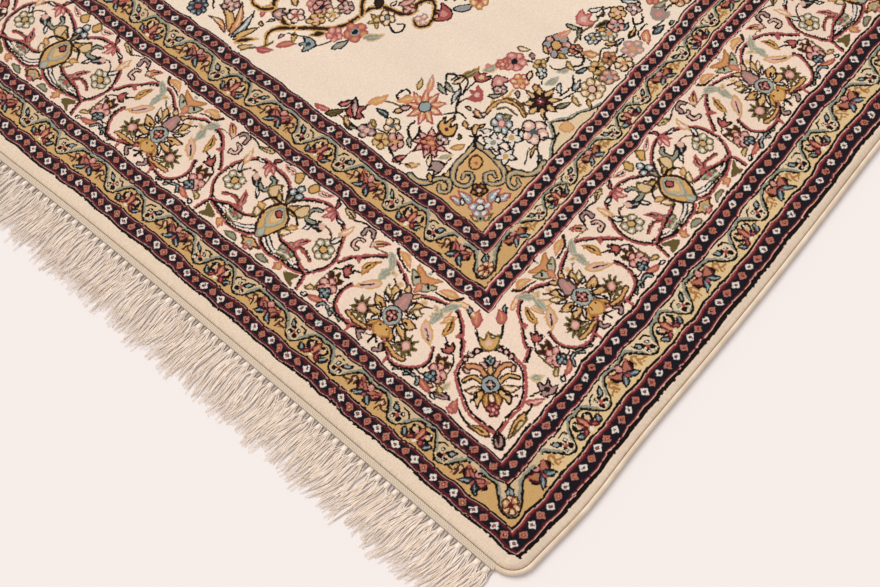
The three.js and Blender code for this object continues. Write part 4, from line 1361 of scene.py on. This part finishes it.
def wobble(along, across):
    # rows of knots never beat down quite straight: waves of 46, 112 and 29 mm, under 1 mm high each
    quick = 0.75 * np.sin(along / 7.3 + across / 61)
    slow = 0.8 * np.sin(along / 17.9 + across / 113 + 1)
    return quick + slow + 0.5 * np.sin(along / 4.6)


# the mesh's faces and its even rim are in steps, and the rest in millimetres: how unevenly the knots lie,
# the clipped height, how it droops towards the edge, and the rim's turns down to the floor
pile = {
    "stepsPerFace": packing["across"] // finer, "seed": 4, "uneven": 0.35, "evenRim": 6, "calmReach": 12,
    "height": 7, "droop": 1.6, "droopReach": 12, "rimInsets": (3.4, 1.2, 0, 0), "rimHeights": (0, 5, 3.6, 0),
}


def planned(x, y, inset):
    # from steps about the middle to millimetres in the rug's true outline, drawn in by the inset
    placed = []
    for steps, half, edge in (
        (x, quarter["width"], rug["halfWidth"]), (y, quarter["length"], rug["halfLength"])
    ):
        last = (half - pile["stepsPerFace"]) * stepSize  # the outermost faces take up what is left over
        reach = np.abs(steps) * stepSize
        squeezed = last + (reach - last) * (edge - inset - last) / (half * stepSize - last)
        placed.append(np.sign(steps) * np.where(reach > last, squeezed, reach))
    # the corners are rounded by drawing them in towards the middle of their arc
    x, y = placed
    beyondX, beyondY = np.maximum(np.abs(x) - arcX, 0), np.maximum(np.abs(y) - arcY, 0)
    pull = np.maximum(beyondX, beyondY) / np.maximum(np.hypot(beyondX, beyondY), 1e-9)
    pull = np.where((beyondX > 0) & (beyondY > 0), pull, 1)
    x = np.where(beyondX > 0, np.sign(x) * (arcX + beyondX * pull), x)
    y = np.where(beyondY > 0, np.sign(y) * (arcY + beyondY * pull), y)
    # no wobble at the very edge, which the binding holds straight
    fromEdge = np.minimum(rug["halfWidth"] - np.abs(x), rug["halfLength"] - np.abs(y))
    free = np.clip(fromEdge / pile["calmReach"] - 0.3, 0, 1)
    return laid(x + free * wobble(y, x), y + free * wobble(x + 40, y))


def knottedPile():
    # one face for four by four steps, the rim turned down to the floor and closed underneath
    columns = 2 * quarter["width"] // pile["stepsPerFace"]
    rows = 2 * quarter["length"] // pile["stepsPerFace"]
    bm = bmesh.new()
    bmesh.ops.create_grid(bm, x_segments=columns, y_segments=rows, size=1)
    rim = [edge for edge in bm.edges if edge.is_boundary]
    for step in range(1, len(pile["rimInsets"])):
        made = bmesh.ops.extrude_edge_only(bm, edges=rim)["geom"]
        rim = [item for item in made if isinstance(item, bmesh.types.BMEdge)]
        for corner in {v for edge in rim for v in edge.verts}:
            corner.co.z = -step
    bmesh.ops.contextual_create(bm, geom=rim)
    bmesh.ops.recalc_face_normals(bm, faces=bm.faces)
    mesh = bpy.data.meshes.new("knottedPile")
    bm.to_mesh(mesh)
    bm.free()

    spots = np.empty(len(mesh.vertices) * 3, np.float32)
    mesh.vertices.foreach_get("co", spots)
    spots = spots.reshape(-1, 3).astype(float)
    level = np.round(-spots[:, 2]).astype(int)
    x, y = spots[:, 0] * quarter["width"], spots[:, 1] * quarter["length"]
    laidX, laidY = planned(x, y, np.array(pile["rimInsets"])[level])
    beaten = np.random.default_rng(pile["seed"]).normal(0, pile["uneven"], (2, len(x)))
    innerX, innerY = quarter["width"] - pile["evenRim"], quarter["length"] - pile["evenRim"]
    inner = (level == 0) & (np.abs(x) < innerX) & (np.abs(y) < innerY)
    laidX, laidY = laidX + beaten[0] * inner, laidY + beaten[1] * inner
    # worn and trodden towards the edges, where the pile lies lower
    fromEdge = np.minimum(rug["halfWidth"] - np.abs(laidX), rug["halfLength"] - np.abs(laidY))
    height = pile["height"] - pile["droop"] * (1 - np.clip(fromEdge / pile["droopReach"], 0, 1)) ** 2
    height = np.where(level > 0, np.array(pile["rimHeights"])[level], height)
    placed = np.stack([laidX, laidY, height], 1) * mm
    mesh.vertices.foreach_set("co", placed.astype(np.float32).ravel())

    corners = np.empty(len(mesh.loops), np.int32)
    mesh.loops.foreach_get("vertex_index", corners)
    starts = np.empty(len(mesh.polygons), np.int32)
    sizes = np.empty(len(mesh.polygons), np.int32)
    mesh.polygons.foreach_get("loop_start", starts)
    mesh.polygons.foreach_get("loop_total", sizes)
    order = np.argsort(starts)
    owner = np.repeat(order, sizes[order])
    middleX = np.bincount(owner, x[corners]) / sizes
    middleY = np.bincount(owner, y[corners]) / sizes
    onTop = np.bincount(owner, level[corners]) == 0
    # the first map counts knots within a face, and the second over the whole rug
    across = packing["across"]
    local = np.stack([x[corners] > middleX[owner], y[corners] > middleY[owner]], 1) * across
    local = np.where(onTop[owner][:, None], local, across / 2)
    mesh.uv_layers.new(name="knots").data.foreach_set("uv", local.astype(np.float32).ravel())
    whole = np.stack([x[corners] + quarter["width"], y[corners] + quarter["length"]], 1) * finer
    mesh.uv_layers.new(name="pattern").data.foreach_set("uv", whole.astype(np.float32).ravel())

    # eight rows of eight knots to a face, as sixteen numbers of four wools each
    powers = float(packing["wools"]) ** np.arange(packing["perNumber"])
    chart = wholeChart().astype(float).reshape(rows, 4, 2, columns, 2, packing["perNumber"])
    packed = (chart * powers).sum(5).transpose(0, 3, 1, 2, 4).reshape(rows, columns, 4, 4)
    plain = (woolNumber["margin"] * powers).sum()
    column = np.floor((middleX + quarter["width"]) / pile["stepsPerFace"]).astype(int).clip(0, columns - 1)
    row = np.floor((middleY + quarter["length"]) / pile["stepsPerFace"]).astype(int).clip(0, rows - 1)
    for number in range(4):
        values = np.where(onTop[:, None], packed[row, column, number], plain)
        held = mesh.attributes.new(f"wools{number}", "FLOAT_COLOR", "FACE")
        held.data.foreach_set("color", values.astype(np.float32).ravel())
    # the only face without four corners is the flat underside
    mesh.polygons.foreach_set("use_smooth", (sizes == 4).tolist())
    mesh.materials.append(woolPile())
    mesh.materials.append(cottonBack())
    mesh.polygons.foreach_set("material_index", (sizes != 4).astype(np.int32).tolist())
    mesh.update()
    return finished("knottedPile", mesh)


def tubes(name, runs, thickness, sides):
    # many yarns as one mesh: each run is a list of places with the yarn's relative thickness there
    curve = bpy.data.curves.new(name, "CURVE")
    curve.dimensions = "3D"
    curve.bevel_depth = thickness * mm
    curve.bevel_resolution = sides
    curve.use_fill_caps = True
    for run in runs:
        spline = curve.splines.new("POLY")
        spline.points.add(len(run) - 1)
        for point, (x, y, z, size) in zip(spline.points, run):
            point.co = (x * mm, y * mm, z * mm, 1)
            point.radius = size
    holder = bpy.data.objects.new(name, curve)
    mesh = bpy.data.meshes.new_from_object(holder)
    bpy.data.objects.remove(holder)
    mesh.name = name
    return mesh


# how often the cord bends along the side, and in how many bends it rounds a corner
selvedge = {"step": 24, "arcSteps": 8}


def selvedgeCord(side):
    # the overcast cord from band to band, round both corners
    quarterTurn = np.linspace(0, math.pi / 2, selvedge["arcSteps"] + 1)
    away = rug["cornerRadius"] + rug["fitGap"] + rug["cordRadius"]
    front = [(arcX + away * math.sin(a), -arcY - away * math.cos(a)) for a in quarterTurn]
    back = [(x, -y) for x, y in reversed(front)]
    count = math.ceil(2 * arcY / selvedge["step"])
    middle = [(arcX + away, -arcY + 2 * arcY * k / count) for k in range(1, count)]
    path = []
    for x, y in front + middle + back:
        # the edge strays as the pile's own edge does, and the cord keeps beside it
        edgeX, edgeY = min(x, rug["halfWidth"]), max(-rug["halfLength"], min(y, rug["halfLength"]))
        movedX, movedY = laid(side * edgeX, edgeY)
        path.append((movedX + side * (x - edgeX), movedY + y - edgeY, rug["cordRadius"] + rug["cordLift"], 1))
    name = "selvedgeRight" if side > 0 else "selvedgeLeft"
    mesh = tubes(name, [path], rug["cordRadius"], 2)
    mesh.shade_smooth()
    mesh.materials.append(overcastYarn())
    return finished(name, mesh)


def lean(x, end):
    # which way the tassels are swept, slowly changing along the edge, from about -1 to 1
    broad = 0.5 * end + 0.38 * math.sin(x / 118 + end)
    return broad + 0.24 * math.sin(x / 47 + 2 * end) + 0.1 * math.sin(x / 21)


# the length of the band's faces, how many lie across it, and how far its edges droop
kilim = {"step": 8, "acrossSteps": 6, "droop": 1}


def kilimBand(end):
    # the flat-woven strip between the pile and the knots, a little crowned, closed underneath
    reach = arcX - rug["fitGap"]
    bm = bmesh.new()
    steps = round(2 * reach / kilim["step"])
    bmesh.ops.create_grid(bm, x_segments=steps, y_segments=kilim["acrossSteps"], size=1)
    shell = bmesh.ops.extrude_face_region(bm, geom=list(bm.faces))["geom"]
    raised = {item for item in shell if isinstance(item, bmesh.types.BMVert)}
    cloth = bm.loops.layers.uv.new("weave")
    for face in bm.faces:
        for corner in face.loops:
            share = (corner.vert.co.y + 1) / 2
            corner[cloth].uv = (corner.vert.co.x * reach * mm, share * rug["bandWidth"] * mm)
    for vert in bm.verts:
        share = (vert.co.y + 1) / 2
        x, y = laid(vert.co.x * reach, end * rug["halfLength"])
        height = rug["bandHeight"] - kilim["droop"] * (2 * share - 1) ** 4 if vert in raised else 0
        vert.co = (x * mm, (y + end * (rug["fitGap"] + share * rug["bandWidth"])) * mm, height * mm)
    bmesh.ops.recalc_face_normals(bm, faces=bm.faces)
    name = "kilimBandBack" if end > 0 else "kilimBandFront"
    mesh = bpy.data.meshes.new(name)
    bm.to_mesh(mesh)
    bm.free()
    mesh.materials.append(kilimWeave())
    return finished(name, mesh)


# nine yarns over each knot and four under it, how they spread from its sides, and how unevenly they lie
fringe = {
    "seeds": (35, 71), "yarns": 9, "under": 4, "yarnRadius": 0.68, "highest": 3.4, "steps": 10,
    "knotAt": 4.4, "knotSize": (2.7, 3.2, 1.9), "knotHeight": 2, "roots": (1.9, 4.9), "spread": 6.8,
    "knotStray": 0.4, "tuftStray": 2.2, "splayStray": 1.4, "leanStray": 12, "oddShare": 0.3, "oddStray": 5.5,
}


def fringeYarns(end):
    # warps gathered in small knots, then loose, plied and wavy, swept sideways and over each other
    chance = np.random.default_rng(fringe["seeds"][end > 0])
    reach = arcX - rug["tasselPitch"] / 2
    count = round(2 * reach / rug["tasselPitch"])
    runs, knots = [], []
    for index in range(count + 1):
        across = -reach + 2 * reach * index / count
        edgeX, edgeY = laid(across, end * rug["halfLength"])
        start = edgeY + end * (rug["fitGap"] + rug["bandWidth"])
        stretch = 1 + 0.06 * math.sin(index * 2.4) + 0.03 * math.sin(index * 5.1)
        knots.append((edgeX + chance.normal(0, fringe["knotStray"]), start + end * (fringe["knotAt"] - 0.5)))
        tuft = chance.normal(0, fringe["tuftStray"])  # each bunch goes its own way a little
        for yarn in range(fringe["yarns"] + fringe["under"]):
            under = yarn >= fringe["yarns"]  # these pass beneath, on both sides of the knot
            place, lanes = (yarn - fringe["yarns"], fringe["under"]) if under else (yarn, fringe["yarns"])
            lane = 2 * (place / (lanes - 1)) - 1
            length = rug["tasselLength"] * stretch * (0.84 + 0.24 * chance.random())
            swing, phase, beat = 0.4 + 1.2 * chance.random(), 6.3 * chance.random(), 6 + 5 * chance.random()
            splay = lane * fringe["spread"] + chance.normal(0, fringe["splayStray"])
            astray = chance.normal(0, fringe["oddStray"]) if chance.random() < fringe["oddShare"] else 0
            leaning = lean(across + chance.normal(0, fringe["leanStray"]), end)
            sweep = rug["tasselDrift"] * leaning + tuft + astray
            rise = (0.2 if under else 0.7) + 1.7 * chance.random()
            root = lane * fringe["roots"][under]
            run = []
            for step in range(fringe["steps"] + 1):
                share = step / fringe["steps"]
                along = 0.35 + length * share
                fan = 1 - math.exp(-max(0, along - fringe["knotAt"]) / 6)
                x = edgeX + root + (splay - root) * fan + sweep * share**1.5
                together = 1.6 * fan * math.sin(along / 11 + across / 19)
                x += swing * fan * math.sin(phase + along / beat) + together
                z = fringe["yarnRadius"] + 0.06
                if under:
                    z += rise * fan * (1 - share)
                else:
                    ripple = 0.6 + 0.4 * math.sin(phase + along / 6)
                    z += 1.1 * (1 - fan) + rise * fan * (1 - share) ** 0.5 * ripple
                size = 1.0 if share < 0.75 else 1.3 - 0.9 * share
                run.append((x, start + end * along, min(z, fringe["highest"]), size))
            runs.append(run)
    name = "fringeBack" if end > 0 else "fringeFront"
    mesh = tubes(name, runs, fringe["yarnRadius"], 0)
    bm = bmesh.new()
    bm.from_mesh(mesh)
    for x, y in knots:
        place = Matrix.Translation((x * mm, y * mm, fringe["knotHeight"] * mm))
        shape = place @ Matrix.Diagonal((*fringe["knotSize"], 1))
        bmesh.ops.create_icosphere(bm, subdivisions=2, radius=mm, matrix=shape)
    bm.to_mesh(mesh)
    bm.free()
    # how deep each spot lies near the knots, for the painted shade down there
    spots = np.empty(len(mesh.vertices) * 3, np.float32)
    mesh.vertices.foreach_get("co", spots)
    x, y, z = spots.reshape(-1, 3).T.astype(float) / mm
    along = end * (y - laid(x, end * rug["halfLength"])[1]) - rug["fitGap"] - rug["bandWidth"]
    low = np.clip((2.2 - z) / 0.9, 0, 1) * np.clip((10 - along) / 5, 0, 1)
    mesh.attributes.new("paintedShade", "FLOAT", "POINT").data.foreach_set("value", low.astype(np.float32))
    mesh.shade_smooth()
    mesh.materials.append(warpCotton())
    return finished(name, mesh)


print("weaving the pile")
pilePiece = knottedPile()
print("binding the edges")
cordPieces = [selvedgeCord(1), selvedgeCord(-1)]
bandPieces = [kilimBand(-1), kilimBand(1)]
print("knotting the fringe")
fringePieces = [fringeYarns(-1), fringeYarns(1)]

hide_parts("knotted_pile")
for cord, node in zip(cordPieces, ("selvedge_right", "selvedge_left")):
    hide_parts(node)
for band, yarns, node in zip(bandPieces, fringePieces, ("fringe_front", "fringe_back")):
    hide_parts(node)
    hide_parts(node)

# metres: the floor lies a hair under the rug
floor = {"size": 60, "under": 0.0004, "colour": "#F0E8E6"}
# a broad soft light from the rug's left, over an even white room
studio = {
    "sky": "#FFFFFF", "skyStrength": 0.6, "window": "#FFFBF5", "windowPower": 1.9, "windowBreadth": 40,
    "windowFrom": (-1.0, 0.2, 1.25),
}


def stageFloor():
    bm = bmesh.new()
    bmesh.ops.create_grid(bm, x_segments=1, y_segments=1, size=floor["size"] / 2)
    bmesh.ops.translate(bm, verts=bm.verts, vec=(0, 0, -floor["under"]))
    mesh = bpy.data.meshes.new("studioFloor")
    bm.to_mesh(mesh)
    bm.free()
    # plain warm white paper
    paper, _, _ = newMaterial(
        "paleFloor", Roughness=0.9, Specular_IOR_Level=0.1, Base_Color=linear(floor["colour"])
    )
    mesh.materials.append(paper)
    piece = bpy.data.objects.new("studioFloor", mesh)
    bpy.context.scene.collection.objects.link(piece)


def lights():
    world = bpy.data.worlds.new("studioSky")
    world.use_nodes = True
    sky = world.node_tree.nodes["Background"]
    sky.inputs["Color"].default_value = linear(studio["sky"])
    sky.inputs["Strength"].default_value = studio["skyStrength"]
    bpy.context.scene.world = world
    window = bpy.data.lights.new("window", "SUN")
    window.color = linear(studio["window"])[:3]
    window.energy = studio["windowPower"]
    window.angle = math.radians(studio["windowBreadth"])
    holder = bpy.data.objects.new("window", window)
    holder.rotation_euler = (-Vector(studio["windowFrom"])).to_track_quat("-Z", "Y").to_euler()
    bpy.context.scene.collection.objects.link(holder)
    bpy.context.scene.view_settings.view_transform = "Standard"


# as solved from the photograph
camera = {"place": (0.9504, -1.3286, 1.173), "target": (0.5202, -0.9924, 0), "roll": -11.86, "focal": 53.58}


def lookDown():
    lens = bpy.data.cameras.new("photoCamera")
    lens.lens = camera["focal"]
    lens.sensor_width = 36
    lens.clip_start = 0.05
    eye = bpy.data.objects.new("photoCamera", lens)
    ahead = Vector(camera["target"]) - Vector(camera["place"])
    roll = Matrix.Rotation(math.radians(camera["roll"]), 3, "Z")
    turned = ahead.to_track_quat("-Z", "Y").to_matrix() @ roll
    eye.matrix_world = Matrix.Translation(camera["place"]) @ turned.to_4x4()
    bpy.context.scene.collection.objects.link(eye)
    bpy.context.scene.camera = eye


stageFloor()
lights()
lookDown()
print("lit and framed")
